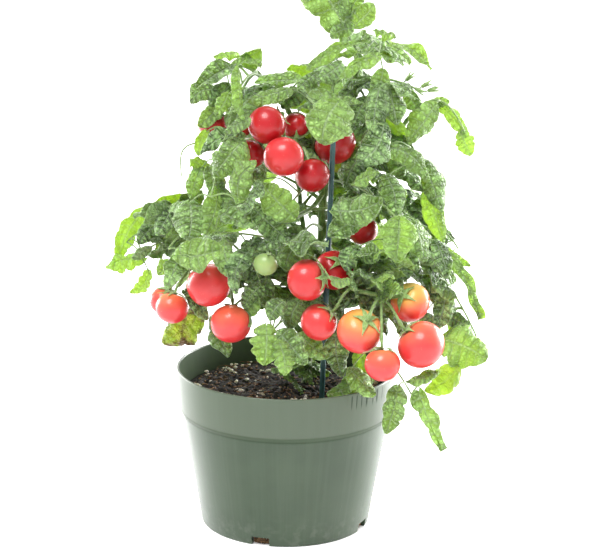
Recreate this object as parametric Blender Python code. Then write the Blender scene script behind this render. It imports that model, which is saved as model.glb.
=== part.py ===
"""A patio tomato plant in its nursery pot, as closed solids: pot, potting mix, stake, stems, trusses,
tomatoes and compound leaves. Metres, +Z up, with the origin at the centre of the pot's underside."""

import math

import bmesh
import bpy
from mathutils import Matrix, Vector

for old in list(bpy.data.objects):
    bpy.data.objects.remove(old)

UP = Vector((0, 0, 1))
GAP = 0.0003  # between pieces that touch

# The pot, a standard 6 in azalea pot: outside radii and heights.
RIM_RADIUS = 0.0825
POT_HEIGHT = 0.1205
BASE_RADIUS = 0.0635
WALL = 0.0018
BAND_HEIGHT = 0.034
BAND_STEP = 0.0022
BAND_TAPER = 0.0022
DRAIN_WIDTH = 0.0135
DRAIN_HEIGHT = 0.0068
DRAIN_BEARINGS = (-106, -24, 74, 154)
RAISED_FLOOR = 0.004
PAD_RADIUS = 0.030

MIX_DEPTH = 0.019  # from the rim down to the potting mix
MIX_TOP = POT_HEIGHT - MIX_DEPTH
STEM_SOCKET_RADIUS = 0.0052

STAKE_FOOT = Vector((0.0245, -0.0245, 0.030))
STAKE_TOP = Vector((0.0320, -0.0300, 0.300))
STAKE_RADIUS = 0.0021

LEAF_THICKNESS = 0.0012
LEAF_GAP = 0.0014  # from a stem's surface to the middle of a leaf's petiole
PETIOLE_WIDTH = 0.0022
LEAFLET_BASE = 0.0032  # how much of the midrib a side leaflet grows from
STALK_RADII = (0.0016, 0.0012)
PEDICEL_RADIUS = 0.0010
KNUCKLE_RISE = 0.0055  # how far over its fruit a pedicel bends
CALYX_REACH = 0.0085
SEPAL_THICKNESS = 0.0009


# ---------------------------------------------------------------- materials and small tools


def material(name, colour, roughness, metallic=0.0):
    """A Principled material of one colour."""
    made = bpy.data.materials.new(name)
    made.use_nodes = True
    shader = made.node_tree.nodes["Principled BSDF"]
    shader.inputs["Base Color"].default_value = (*colour, 1)
    shader.inputs["Roughness"].default_value = roughness
    shader.inputs["Metallic"].default_value = metallic
    return made


def mesh_object(name, shape, finish):
    """A scene object made from a bmesh, shaded smooth with sharp edges kept."""
    bmesh.ops.recalc_face_normals(shape, faces=shape.faces)
    mesh = bpy.data.meshes.new(name)
    shape.to_mesh(mesh)
    shape.free()
    mesh.shade_smooth()
    mesh.set_sharp_from_angle(angle=math.radians(40))
    mesh.materials.append(finish)
    made = bpy.data.objects.new(name, mesh)
    bpy.context.scene.collection.objects.link(made)
    return made


def along(points, share):
    """The point at a share of the way along a smooth (Catmull-Rom) path through the points."""
    spans = len(points) - 1
    span = min(int(share * spans), spans - 1)
    t = share * spans - span
    before, start, end, after = (
        points[max(span - 1, 0)],
        points[span],
        points[span + 1],
        points[min(span + 2, spans)],
    )
    return 0.5 * (
        2 * start
        + (end - before) * t
        + (2 * before - 5 * start + 4 * end - after) * t**2
        + (3 * start - before - 3 * end + after) * t**3
    )


def heading(path, share):
    """The unit direction of a path, a function of share, at that share."""
    return (path(min(share + 0.02, 1)) - path(max(share - 0.02, 0))).normalized()


def tube(name, path, start_radius, end_radius, steps, finish):
    """A capped tube along a path, a function of share, tapering from one radius to the other."""
    curve = bpy.data.curves.new(name, "CURVE")
    curve.dimensions = "3D"
    curve.bevel_depth = 1
    curve.bevel_resolution = 1
    curve.use_fill_caps = True
    spline = curve.splines.new("POLY")
    spline.points.add(steps)
    for index, point in enumerate(spline.points):
        share = index / steps
        point.co = (*path(share), 1)
        point.radius = start_radius + (end_radius - start_radius) * share
    curve.materials.append(finish)
    made = bpy.data.objects.new(name, curve)
    bpy.context.scene.collection.objects.link(made)
    return made


def solid_copy(source, name):
    """The source object as its modifiers leave it, as a plain mesh object; the source is removed."""
    view = bpy.context.evaluated_depsgraph_get()
    mesh = bpy.data.meshes.new_from_object(source.evaluated_get(view))
    data = source.data
    bpy.data.objects.remove(source)
    if data.users == 0:
        (bpy.data.meshes if isinstance(data, bpy.types.Mesh) else bpy.data.curves).remove(data)
    mesh.name = name
    shape = bmesh.new()
    shape.from_mesh(mesh)
    bmesh.ops.remove_doubles(shape, verts=shape.verts, dist=1e-6)
    finish = mesh.materials[0]
    bpy.data.meshes.remove(mesh)
    return mesh_object(name, shape, finish)


def grown_together(name, pieces):
    """One closed body from overlapping pieces, by Boolean unions onto the first."""
    body = solid_copy(pieces[0], name + "_body")
    for piece in pieces[1:]:
        other = solid_copy(piece, name + "_piece")
        union = body.modifiers.new("union", "BOOLEAN")
        union.operation = "UNION"
        union.solver = "EXACT"
        union.object = other
        joined = solid_copy(body, name + "_body")
        bpy.data.objects.remove(other)
        body = joined
    body.name = name
    body.data.name = name
    return body


def cut(body, cutter):
    """Cuts the cutter's shape out of the body, and hides the cutter."""
    cutter.hide_render = True
    cutter.display_type = "WIRE"
    difference = body.modifiers.new(cutter.name, "BOOLEAN")
    difference.operation = "DIFFERENCE"
    difference.solver = "EXACT"
    difference.object = cutter


def turned(name, profile, steps, finish):
    """A closed body of revolution about Z from (radius, height) points that start and end on the axis."""
    shape = bmesh.new()
    points = [shape.verts.new((radius, 0, height)) for radius, height in profile]
    edges = [shape.edges.new(pair) for pair in zip(points, points[1:])]
    bmesh.ops.spin(shape, geom=points + edges, cent=(0, 0, 0), axis=(0, 0, 1), steps=steps, angle=math.tau)
    bmesh.ops.remove_doubles(shape, verts=shape.verts, dist=1e-6)
    return mesh_object(name, shape, finish)


def rod(name, foot, top, radius, finish):
    """A straight capped cylinder from foot to top."""
    axis = top - foot
    shape = bmesh.new()
    bmesh.ops.create_cone(
        shape, cap_ends=True, segments=16, radius1=radius, radius2=radius, depth=axis.length
    )
    made = mesh_object(name, shape, finish)
    made.location = (foot + top) / 2
    made.rotation_euler = axis.to_track_quat("Z", "Y").to_euler()
    return made


# ---------------------------------------------------------------- pot, potting mix and stake


def wall_radius(height):
    """The pot's outside radius at a height, on the tapered body below the rim band."""
    body_top = RIM_RADIUS - BAND_TAPER - BAND_STEP
    return BASE_RADIUS + (body_top - BASE_RADIUS) * height / (POT_HEIGHT - BAND_HEIGHT)


def make_pot():
    """A thin moulded pot: raised floor on a central pad, foot ring, tapered wall, step and rim band."""
    band_foot = POT_HEIGHT - BAND_HEIGHT
    profile = (
        (0, 0),
        (PAD_RADIUS, 0),
        (PAD_RADIUS + 0.004, RAISED_FLOOR),
        (BASE_RADIUS - 0.008, RAISED_FLOOR),
        (BASE_RADIUS - 0.0065, 0),
        (BASE_RADIUS - 0.0012, 0),
        (BASE_RADIUS, 0.0014),
        (wall_radius(DRAIN_HEIGHT + 0.002), DRAIN_HEIGHT + 0.002),
        (wall_radius(band_foot), band_foot),
        (wall_radius(band_foot) + BAND_STEP, band_foot + 0.0035),
        (RIM_RADIUS - 0.0004, POT_HEIGHT - 0.002),
        (RIM_RADIUS, POT_HEIGHT - 0.0006),
        (RIM_RADIUS - 0.0008, POT_HEIGHT),
        (RIM_RADIUS - WALL, POT_HEIGHT - 0.0006),
        (wall_radius(band_foot) + BAND_STEP - WALL, band_foot + 0.0035),
        (wall_radius(band_foot) - WALL, band_foot),
        (BASE_RADIUS - WALL - 0.0005, RAISED_FLOOR + WALL + 0.001),
        (BASE_RADIUS - 0.006, RAISED_FLOOR + WALL),
        (PAD_RADIUS, RAISED_FLOOR + WALL),
        (0, RAISED_FLOOR + WALL),
    )
    pot = turned("pot", profile, 48, material("pot", (0.17, 0.24, 0.18), 0.42))
    for number, bearing in enumerate(DRAIN_BEARINGS, 1):
        shape = bmesh.new()
        bmesh.ops.create_cube(shape, size=1)
        bmesh.ops.scale(shape, vec=(0.016, DRAIN_WIDTH, 2 * DRAIN_HEIGHT), verts=shape.verts)
        bmesh.ops.translate(shape, vec=(BASE_RADIUS, 0, 0), verts=shape.verts)
        bmesh.ops.rotate(shape, matrix=Matrix.Rotation(math.radians(bearing), 3, "Z"), verts=shape.verts)
        cut(pot, mesh_object(f"drain_cutter_{number}", shape, pot.data.materials[0]))
    return pot


def make_mix(stem_foot):
    """The potting mix: it fills the pot to below the rim, with sockets for the stake and the stem."""
    inner = wall_radius(POT_HEIGHT - BAND_HEIGHT) + BAND_STEP - WALL - GAP
    lower = POT_HEIGHT - BAND_HEIGHT
    profile = (
        (0, MIX_TOP + 0.002),
        (0.022, MIX_TOP + 0.0025),
        (0.044, MIX_TOP + 0.0005),
        (0.062, MIX_TOP + 0.001),
        (inner - 0.0015, MIX_TOP - 0.001),
        (inner - 0.0005, MIX_TOP - 0.003),
        (wall_radius(lower) - WALL - 2 * GAP, lower - 0.001),
        (BASE_RADIUS - WALL - 0.0012, RAISED_FLOOR + WALL + 0.0028),
        (0, RAISED_FLOOR + WALL + 2 * GAP),
    )
    mix = turned("potting_mix", profile, 24, material("potting_mix", (0.022, 0.015, 0.010), 0.95))
    for corner in mix.data.vertices:
        if corner.co.z > MIX_TOP - 0.0005:
            turn = math.atan2(corner.co.y, corner.co.x)
            corner.co.z += 0.0012 * math.sin(3 * turn + 1) * corner.co.xy.length / inner
    soil = mix.data.materials[0]
    cut(mix, rod("stake_socket", STAKE_FOOT - 0.002 * UP, STAKE_TOP, STAKE_RADIUS + GAP, soil))
    cut(mix, rod("stem_socket", stem_foot - 0.002 * UP, stem_foot + 0.05 * UP, STEM_SOCKET_RADIUS, soil))
    return mix


# ---------------------------------------------------------------- stems

# Each stem is a smooth path through points chosen by hand, and tapers from its first radius to its second.
STEMS = {
    "main": (
        ((0.014, 0.006, 0.090), (0.018, 0.008, 0.150), (0.024, 0.012, 0.210), (0.027, 0.017, 0.255),
         (0.034, 0.018, 0.292), (0.044, 0.010, 0.326), (0.053, 0.004, 0.354)),
        0.0036, 0.0017,
    ),
    "upper_left": (
        ((0.0262, 0.0155, 0.246), (0.012, 0.024, 0.285), (-0.004, 0.020, 0.317), (-0.024, 0.008, 0.342)),
        0.0024, 0.0014,
    ),
    "lower_left": (
        ((0.0172, 0.0077, 0.138), (-0.012, 0.000, 0.172), (-0.045, -0.008, 0.202), (-0.080, -0.012, 0.226)),
        0.0026, 0.0014,
    ),
    "lower_right": (
        ((0.0180, 0.0080, 0.148), (0.045, -0.004, 0.182), (0.075, -0.012, 0.210), (0.104, -0.012, 0.232)),
        0.0026, 0.0014,
    ),
    "upper_right": (
        ((0.0247, 0.0126, 0.216), (0.050, 0.018, 0.256), (0.072, 0.014, 0.288), (0.092, 0.006, 0.314)),
        0.0024, 0.0014,
    ),
    "back": (
        ((0.0184, 0.0082, 0.155), (0.014, 0.034, 0.195), (0.008, 0.058, 0.240), (0.002, 0.072, 0.286)),
        0.0024, 0.0014,
    ),
}


def stem_path(name):
    """The path of a stem, as a function of share."""
    points = [Vector(point) for point in STEMS[name][0]]
    return lambda share: along(points, share)


def stem_radius(name, share):
    """A stem's radius at a share of its length."""
    start, end = STEMS[name][1:]
    return start + (end - start) * share


def off_stem(name, share, towards, gap):
    """The point just off a stem's surface, on the side that faces towards."""
    axis = stem_path(name)(share)
    run = heading(stem_path(name), share)
    side = towards - axis
    side = (side - side.dot(run) * run).normalized()
    return axis + side * (stem_radius(name, share) + gap)


def make_stems():
    """The main stem and its side shoots, which grew as one piece."""
    green = material("stem", (0.13, 0.20, 0.05), 0.55)
    tubes = [
        tube(name, stem_path(name), start, end, 5 * (len(points) - 1), green)
        for name, (points, start, end) in STEMS.items()
    ]
    return grown_together("main_stem", tubes)


# ---------------------------------------------------------------- trusses and tomatoes

# Each tomato: truss, centre, radius, the direction that its calyx faces, and its ripeness from 0 to 1.
TOMATOES = (
    ("upper", (-0.0156, -0.0350, 0.3106), 0.0138, (0.55, 0.55, 0.35), 1.0),
    ("upper", (-0.0032, -0.0500, 0.2907), 0.0143, (0.25, 0.80, 0.45), 0.9),
    ("upper", (0.0173, -0.0350, 0.2743), 0.0126, (-0.20, 0.60, 0.75), 1.0),
    ("upper", (0.0337, -0.0080, 0.2927), 0.0158, (-0.75, 0.20, 0.35), 1.0),
    ("upper", (-0.0267, -0.0220, 0.2871), 0.0104, (0.70, 0.25, 0.60), 1.0),
    ("upper", (0.0048, -0.0100, 0.3055), 0.0098, (0.10, -0.35, -0.80), 1.0),
    ("upper_left", (-0.0554, -0.0100, 0.3060), 0.0110, (0.55, 0.45, 0.60), 0.95),
    ("upper_left", (-0.0330, 0.0420, 0.2980), 0.0125, (0.45, -0.45, 0.70), 0.9),
    ("middle", (0.0554, -0.0050, 0.2272), 0.0112, (-0.45, 0.10, 0.80), 1.0),
    ("middle", (-0.0153, -0.0650, 0.2160), 0.0086, (0.30, 0.45, 0.80), 0.0),
    ("right", (0.0337, -0.0460, 0.2072), 0.0143, (0.35, -0.60, 0.65), 1.0),
    ("right", (0.0143, -0.0710, 0.2061), 0.0147, (0.85, -0.35, 0.20), 0.85),
    ("right", (0.0232, -0.0700, 0.1750), 0.0136, (0.70, -0.10, 0.66), 0.8),
    ("right", (0.0519, -0.0830, 0.1724), 0.0162, (0.30, -0.55, 0.70), 0.45),
    ("right", (0.0885, -0.0600, 0.1878), 0.0143, (-0.50, -0.60, 0.58), 0.35),
    ("right", (0.0955, -0.0850, 0.1636), 0.0172, (-0.70, 0.05, 0.68), 0.6),
    ("right", (0.0680, -0.1000, 0.1532), 0.0126, (-0.05, 0.30, 0.95), 0.7),
    ("left", (-0.0562, -0.0500, 0.1960), 0.0160, (-0.30, 0.80, 0.50), 0.8),
    ("left", (-0.0830, -0.0450, 0.1772), 0.0120, (0.20, 0.35, 0.90), 0.7),
    ("left", (-0.0907, -0.0190, 0.1753), 0.0108, (0.45, -0.10, 0.85), 0.75),
    ("left", (-0.0401, -0.0550, 0.1688), 0.0145, (0.05, 0.70, 0.70), 0.7),
)

# Each truss: the stem and share where it starts, the joints of its stalk, and for each of its tomatoes
# in the order above the joint that its pedicel leaves from.
TRUSSES = {
    "upper": ("main", 0.56, ((0.018, 0.005, 0.287), (0.009, -0.010, 0.290), (-0.003, -0.024, 0.299)),
              (2, 2, 1, 0, 2, 1)),
    "upper_left": ("upper_left", 0.78, ((-0.028, 0.017, 0.322), (-0.036, 0.012, 0.322)), (1, 0)),
    "middle": ("main", 0.48, ((0.016, -0.004, 0.242), (0.000, -0.042, 0.243)), (0, 1)),
    "right": ("lower_right", 0.40, ((0.056, -0.044, 0.207), (0.046, -0.062, 0.199), (0.067, -0.072, 0.196)),
              (0, 1, 1, 2, 2, 2, 2)),
    "left": ("lower_left", 0.60, ((-0.042, -0.028, 0.194), (-0.068, -0.026, 0.203)), (0, 1, 1, 0)),
}


def make_tomato(name, centre, radius, face, finish):
    """A slightly flattened ball with a dimple where the calyx sits."""
    shape = bmesh.new()
    bmesh.ops.create_uvsphere(shape, u_segments=14, v_segments=9, radius=radius)
    for corner in shape.verts:
        rise = corner.co.z / radius
        corner.co.z *= 0.94
        corner.co.z -= 0.16 * radius * max(rise - 0.75, 0) / 0.25
    made = mesh_object(name, shape, finish)
    made.location = centre
    made.rotation_euler = face.to_track_quat("Z", "Y").to_euler()
    return made


def make_calyx(name, seat, face, finish):
    """A five-pointed star of sepals that lies just over the fruit's shoulder."""
    shape = bmesh.new()
    middle = shape.verts.new((0, 0, 0))
    ring = []
    for index in range(10):
        turn = math.tau * index / 10
        at_tip = index % 2 == 0
        radius = CALYX_REACH if at_tip else 0.30 * CALYX_REACH
        drop = -0.16 * CALYX_REACH if at_tip else 0
        ring.append(shape.verts.new((radius * math.cos(turn), radius * math.sin(turn), drop)))
    for corner, following in zip(ring, ring[1:] + ring[:1]):
        shape.faces.new((middle, corner, following))
    made = mesh_object(name, shape, finish)
    thicken = made.modifiers.new("thicken", "SOLIDIFY")
    thicken.thickness = SEPAL_THICKNESS
    thicken.offset = 1
    made.location = seat
    made.rotation_euler = face.to_track_quat("Z", "Y").to_euler()
    bpy.context.view_layer.update()
    shift = made.matrix_world.copy()
    flat = solid_copy(made, name)
    flat.data.transform(shift)
    return flat


def make_truss(name, greens):
    """One truss: its stalk, a pedicel to each of its tomatoes, and their calyxes, grown as one piece."""
    stem, share, joints, leaves_from = TRUSSES[name]
    joints = [Vector(joint) for joint in joints]
    start = off_stem(stem, share, joints[0], 4 * GAP)
    stalk_points = [start] + joints
    steps = 3 * len(joints)
    pieces = [tube(name, lambda s: along(stalk_points, s), *STALK_RADII, steps, greens)]
    fruits = [fruit for fruit in TOMATOES if fruit[0] == name]
    for (_, centre, radius, face, _), joint in zip(fruits, leaves_from):
        face = Vector(face).normalized()
        seat = Vector(centre) + face * (0.80 * radius + 2 * GAP)
        knuckle = seat + face * KNUCKLE_RISE
        bend = [joints[joint], joints[joint].lerp(knuckle, 0.5) + 0.002 * UP, knuckle, seat + face * 0.0003]
        pieces.append(
            tube(name, lambda s, bend=bend: along(bend, s), PEDICEL_RADIUS, PEDICEL_RADIUS, 6, greens)
        )
        pieces.append(make_calyx(name, seat, face, greens))
    return grown_together("truss_" + name, pieces)


def make_fruits():
    """Every tomato, numbered in the order of the list."""
    ripe = material("tomato_ripe", (0.62, 0.030, 0.020), 0.22)
    turning = material("tomato_turning", (0.80, 0.20, 0.06), 0.24)
    unripe = material("tomato_unripe", (0.42, 0.52, 0.18), 0.26)
    for number, (_, centre, radius, face, ripeness) in enumerate(TOMATOES, 1):
        finish = unripe if ripeness < 0.2 else turning if ripeness < 0.5 else ripe
        make_tomato(f"tomato_{number:02d}", Vector(centre), radius, Vector(face), finish)


# ---------------------------------------------------------------- compound leaves

# Each leaf: name, the stem and share it grows from, where its tip is, how far its midrib bows up, how far
# it rolls about its midrib in degrees, the lengths of its side and end leaflets, and its pairs of side ones.
LEAVES = (
    ("top", "main", 1.00, (0.004, -0.012, 0.410), 0.006, -40, 0.020, 0.050, 1),
    ("top_right", "main", 0.96, (0.101, -0.012, 0.346), 0.022, 40, 0.024, 0.034, 2),
    ("right_high", "upper_right", 1.00, (0.132, -0.012, 0.292), 0.020, 35, 0.027, 0.034, 2),
    ("right_droop", "upper_right", 0.78, (0.108, -0.048, 0.242), 0.014, 15, 0.029, 0.038, 2),
    ("right_front", "main", 0.86, (0.064, -0.050, 0.286), 0.018, 10, 0.028, 0.038, 1),
    ("heart", "upper_left", 0.74, (0.033, -0.062, 0.300), 0.018, 0, 0.014, 0.036, 1),
    ("pale", "main", 0.92, (-0.020, -0.036, 0.338), 0.012, -30, 0.024, 0.038, 2),
    ("upper_left", "upper_left", 1.00, (-0.074, 0.004, 0.320), 0.014, -35, 0.026, 0.034, 1),
    ("hanging", "upper_left", 0.92, (-0.046, -0.060, 0.304), 0.018, 0, 0.020, 0.036, 1),
    ("left_dark", "upper_left", 1.00, (-0.054, -0.054, 0.262), 0.018, 0, 0.010, 0.038, 1),
    ("left_high", "main", 0.46, (-0.104, 0.006, 0.246), 0.026, -30, 0.029, 0.038, 3),
    ("front_left", "main", 0.32, (-0.052, -0.054, 0.236), 0.004, -15, 0.028, 0.038, 1),
    ("front_middle", "main", 0.52, (-0.010, -0.074, 0.240), 0.010, 0, 0.018, 0.038, 1),
    ("front_right", "main", 0.52, (0.078, -0.058, 0.248), 0.008, 10, 0.019, 0.038, 1),
    ("right_dark", "upper_right", 0.36, (0.102, -0.026, 0.226), 0.008, 20, 0.024, 0.036, 1),
    ("right_face", "lower_right", 0.70, (0.084, -0.070, 0.214), 0.022, 0, 0.023, 0.036, 1),
    ("far_right", "lower_right", 1.00, (0.141, -0.022, 0.180), 0.015, 30, 0.028, 0.036, 1),
    ("low_right", "lower_right", 0.66, (0.146, -0.044, 0.140), 0.026, 20, 0.024, 0.038, 3),
    ("over_rim", "main", 0.14, (0.108, -0.092, 0.090), 0.036, 0, 0.028, 0.038, 2),
    ("yellow", "lower_left", 0.45, (-0.096, -0.002, 0.146), 0.012, -30, 0.026, 0.036, 1),
    ("far_left", "lower_left", 1.00, (-0.134, 0.002, 0.196), 0.014, -30, 0.029, 0.036, 1),
    ("left_pale", "lower_left", 0.78, (-0.092, -0.068, 0.210), 0.020, 0, 0.027, 0.038, 1),
    ("left_middle", "lower_left", 0.42, (-0.064, -0.076, 0.219), 0.026, 0, 0.026, 0.036, 2),
    ("low_left", "lower_left", 0.38, (-0.060, -0.030, 0.140), 0.014, 0, 0.020, 0.032, 1),
    ("centre_dark", "main", 0.38, (0.006, -0.060, 0.224), 0.010, 0, 0.014, 0.038, 1),
    ("low_front", "main", 0.16, (-0.022, -0.070, 0.142), 0.020, 0, 0.028, 0.036, 2),
    ("back_top", "main", 0.80, (0.030, 0.095, 0.300), 0.028, 0, 0.029, 0.038, 2),
    ("back_high", "back", 1.00, (-0.020, 0.125, 0.235), 0.024, 0, 0.029, 0.038, 2),
    ("back_right", "back", 0.60, (0.078, 0.095, 0.190), 0.034, 0, 0.030, 0.038, 3),
    ("back_left", "back", 0.45, (-0.070, 0.088, 0.190), 0.030, 0, 0.030, 0.038, 3),
)

PAIR_SHARES = ((0.64,), (0.40, 0.70), (0.30, 0.52, 0.74))  # along the strip, for one, two and three pairs
LEAFLET_SWEEP = math.radians(74)
LEAFLET_ROOM = 0.40  # a side leaflet's half breadth, at most, over the midrib between it and the next
LEAFLET_BREADTH = 0.40  # half the breadth over the length
LEAFLET_SAG = 0.28
OUTLINE = ((0.24, 0.84), (0.56, 1.00), (0.84, 0.58))  # (share of the length, share of the half-breadth)


def leaf_frame(path, share, lean, roll):
    """A leaf's own directions at a share of its midrib: along it, across it, and out of its upper face."""
    run = heading(path, share)
    across = run.cross(UP + lean).normalized()
    across = Matrix.Rotation(roll, 3, run) @ across
    return run, across, across.cross(run)


def leaflet(shape, edge, start, direction, face, length, breadth):
    """Adds a leaflet to the sheet: a pointed blade that grows from an edge, sags, and folds at its midrib."""
    face = (face - face.dot(direction) * direction).normalized()
    across = direction.cross(face)
    row = list(edge)
    for share, width in OUTLINE:
        middle = start + length * (share * direction - LEAFLET_SAG * share**2 * UP)
        side = across * breadth * width
        fold = face * (0.12 * breadth * width)
        following = [
            shape.verts.new(middle - side - fold),
            shape.verts.new(middle + fold),
            shape.verts.new(middle + side - fold),
        ]
        if len(row) == 2:
            shape.faces.new((row[0], following[0], following[1]))
            shape.faces.new((row[0], following[1], row[1]))
            shape.faces.new((row[1], following[1], following[2]))
        else:
            shape.faces.new((row[0], following[0], following[1], row[1]))
            shape.faces.new((row[1], following[1], following[2], row[2]))
        row = following
    tip = shape.verts.new(start + length * (direction - LEAFLET_SAG * UP))
    shape.faces.new((row[0], tip, row[1]))
    shape.faces.new((row[1], tip, row[2]))


def make_leaf(name, stem, share, tip, bow, roll, size, end_size, pairs, finish):
    """One compound leaf as a thin closed plate: a petiole and midrib strip with its leaflets."""
    tip = Vector(tip)
    start = off_stem(stem, share, tip, LEAF_GAP)
    crest = (start + tip) / 2 + 2 * bow * UP
    reach = (tip - start).length
    lean = Vector((tip.x, tip.y, 0)).normalized() * 0.5
    roll = math.radians(roll)

    def midrib(s):
        return (1 - s) ** 2 * start + 2 * s * (1 - s) * crest + s**2 * tip

    shape = bmesh.new()
    end_share = 1.0
    while (tip - midrib(end_share)).length < end_size:
        end_share -= 0.005
    half_base = LEAFLET_BASE / 2 / reach
    pair_shares = [share * end_share for share in PAIR_SHARES[pairs - 1]] + [end_share]
    gaps = [(midrib(after) - midrib(before)).length for before, after in zip(pair_shares, pair_shares[1:])]
    breadth = min(LEAFLET_BREADTH * size, LEAFLET_ROOM * min(gaps))
    stations = {0.0: None, 0.14: None, end_share: None}
    for pair in pair_shares[:-1]:
        stations[pair - half_base] = None
        stations[pair + half_base] = pair
    strip = []
    for station in sorted(stations):
        run, across, face = leaf_frame(midrib, station, lean, roll)
        side = across * (PETIOLE_WIDTH / 2)
        left = shape.verts.new(midrib(station) - side)
        right = shape.verts.new(midrib(station) + side)
        if strip:
            shape.faces.new((strip[-1][0], left, right, strip[-1][1]))
        pair = stations[station]
        if pair:
            run, across, face = leaf_frame(midrib, pair, lean, roll)
            for sign, edge in ((-1, (strip[-1][0], left)), (1, (right, strip[-1][1]))):
                direction = math.cos(LEAFLET_SWEEP) * run + sign * math.sin(LEAFLET_SWEEP) * across
                foot = midrib(pair) + sign * across * (PETIOLE_WIDTH / 2)
                leaflet(shape, edge, foot, direction.normalized(), face, size, breadth)
        strip.append((left, right))
    run, across, face = leaf_frame(midrib, end_share, lean, roll)
    end = tip - midrib(end_share)
    length = end.length
    direction = (end + LEAFLET_SAG * length * UP) / length
    leaflet(shape, strip[-1], midrib(end_share), direction, face, length, LEAFLET_BREADTH * length)
    made = mesh_object("leaf_" + name, shape, finish)
    thicken = made.modifiers.new("thicken", "SOLIDIFY")
    thicken.thickness = LEAF_THICKNESS
    thicken.offset = 0
    return made


# ---------------------------------------------------------------- the whole plant

make_pot()
make_stems()
foliage = material("stalk", (0.16, 0.26, 0.06), 0.5)
for truss in TRUSSES:
    make_truss(truss, foliage)
make_fruits()
stake_plastic = material("stake", (0.035, 0.085, 0.080), 0.45)
rod("support_stake", STAKE_FOOT, STAKE_TOP, STAKE_RADIUS, stake_plastic)
make_mix(Vector(STEMS["main"][0][0]))
green_leaf = material("leaf_green", (0.10, 0.24, 0.05), 0.5)
yellow_leaf = material("leaf_yellow", (0.45, 0.42, 0.08), 0.5)
for row in LEAVES:
    make_leaf(*row, yellow_leaf if row[0] == "yellow" else green_leaf)
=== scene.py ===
"""A patio tomato plant in its nursery pot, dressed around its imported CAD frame. Metres, +Z up."""

import math

import bpy
import numpy as np
from mathutils import Matrix, Vector


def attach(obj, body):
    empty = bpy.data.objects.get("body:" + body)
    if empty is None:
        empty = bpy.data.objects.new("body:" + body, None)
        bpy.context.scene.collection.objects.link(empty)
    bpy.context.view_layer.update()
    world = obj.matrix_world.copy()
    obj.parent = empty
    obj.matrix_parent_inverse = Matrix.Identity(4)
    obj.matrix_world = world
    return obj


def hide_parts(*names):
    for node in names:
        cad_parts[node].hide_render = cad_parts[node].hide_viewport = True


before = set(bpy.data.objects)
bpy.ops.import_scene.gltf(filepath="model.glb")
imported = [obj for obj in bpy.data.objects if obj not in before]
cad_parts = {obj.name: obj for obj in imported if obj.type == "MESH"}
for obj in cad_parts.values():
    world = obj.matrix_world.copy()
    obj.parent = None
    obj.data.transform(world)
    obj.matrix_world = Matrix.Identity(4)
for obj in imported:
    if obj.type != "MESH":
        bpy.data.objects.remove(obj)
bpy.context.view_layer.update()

# ------------------------------------------------------------------ the table and the light
# The plant stands on a plain white table in a white room, lit from all round. One broad soft light
# falls on its front from above, and a softer one from behind shines through the leaves. A square
# one on each side, a little behind the plant, edges the pot and the fruit.

TABLE_SIDE = 14.0
ROOM_LIGHT = 1.15
ROOM_SHADE = 0.76  # how much less of it falls on the plant than shows
TABLE_GLOW = 0.22
CAMERA_DISTANCE = 1.5
CAMERA_AIM = Vector((0.0094, 0.0, 0.1893))
CAMERA_ELEVATION = math.radians(14.75)
CAMERA_ROLL = math.radians(0.68)
LENS_LENGTH = 120.9
SUN_AT = (0, 0, 0)
BOX_AIM = (0, 0, 0.1)

camera = bpy.data.objects.new("camera", bpy.data.cameras.new("camera"))
camera.data.lens = LENS_LENGTH
camera.data.sensor_width = 36
ahead = Vector((0, math.cos(CAMERA_ELEVATION), -math.sin(CAMERA_ELEVATION)))
level_right = Vector((1, 0, 0))
level_up = level_right.cross(ahead)
right = math.cos(CAMERA_ROLL) * level_right + math.sin(CAMERA_ROLL) * level_up
above = math.cos(CAMERA_ROLL) * level_up - math.sin(CAMERA_ROLL) * level_right
turn = Matrix((right, above, -ahead)).transposed().to_4x4()
camera.matrix_world = Matrix.Translation(CAMERA_AIM - CAMERA_DISTANCE * ahead) @ turn
bpy.context.scene.collection.objects.link(camera)
bpy.context.scene.camera = camera
bpy.context.scene.view_settings.view_transform = "Standard"

room = bpy.data.worlds.new("room")
room.use_nodes = True
room.node_tree.nodes["Background"].inputs["Color"].default_value = (1, 1, 1, 1)
bounce = room.node_tree.nodes.new("ShaderNodeLightPath").outputs["Is Diffuse Ray"]
dimmed = room.node_tree.nodes.new("ShaderNodeMath")
dimmed.operation = "MULTIPLY_ADD"
dimmed.inputs[1].default_value = -ROOM_SHADE
dimmed.inputs[2].default_value = ROOM_LIGHT
room.node_tree.links.new(bounce, dimmed.inputs[0])
room.node_tree.links.new(dimmed.outputs[0], room.node_tree.nodes["Background"].inputs["Strength"])
bpy.context.scene.world = room


def soft_light(name, kind, strength, softness, place, target):
    """A light at a place that faces a target: a sun softened over an angle, or a square with a side."""
    data = bpy.data.lights.new(name, kind)
    data.energy = strength
    setattr(data, "angle" if kind == "SUN" else "size", softness)
    light = bpy.data.objects.new(name, data)
    light.location = place
    light.rotation_euler = (Vector(target) - Vector(place)).to_track_quat("-Z", "Y").to_euler()
    bpy.context.scene.collection.objects.link(light)


soft_light("top_light", "SUN", 3.8, math.radians(35), SUN_AT, (0.25, 0.45, -1.0))
soft_light("back_light", "SUN", 1.4, math.radians(30), SUN_AT, (-0.15, -1.0, -0.75))
soft_light("right_light", "AREA", 72, 1.0, (1.15, 0.90, 0.30), BOX_AIM)
soft_light("left_light", "AREA", 42, 1.0, (-1.25, 0.90, 0.30), BOX_AIM)


# ------------------------------------------------------------------ the pot
# A thin injection-moulded nursery pot of grey-green polypropylene: tapered wall, rim band over a
# step, foot ring with four drain slots. Potting water has dried on its band in short dark runs.

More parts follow.
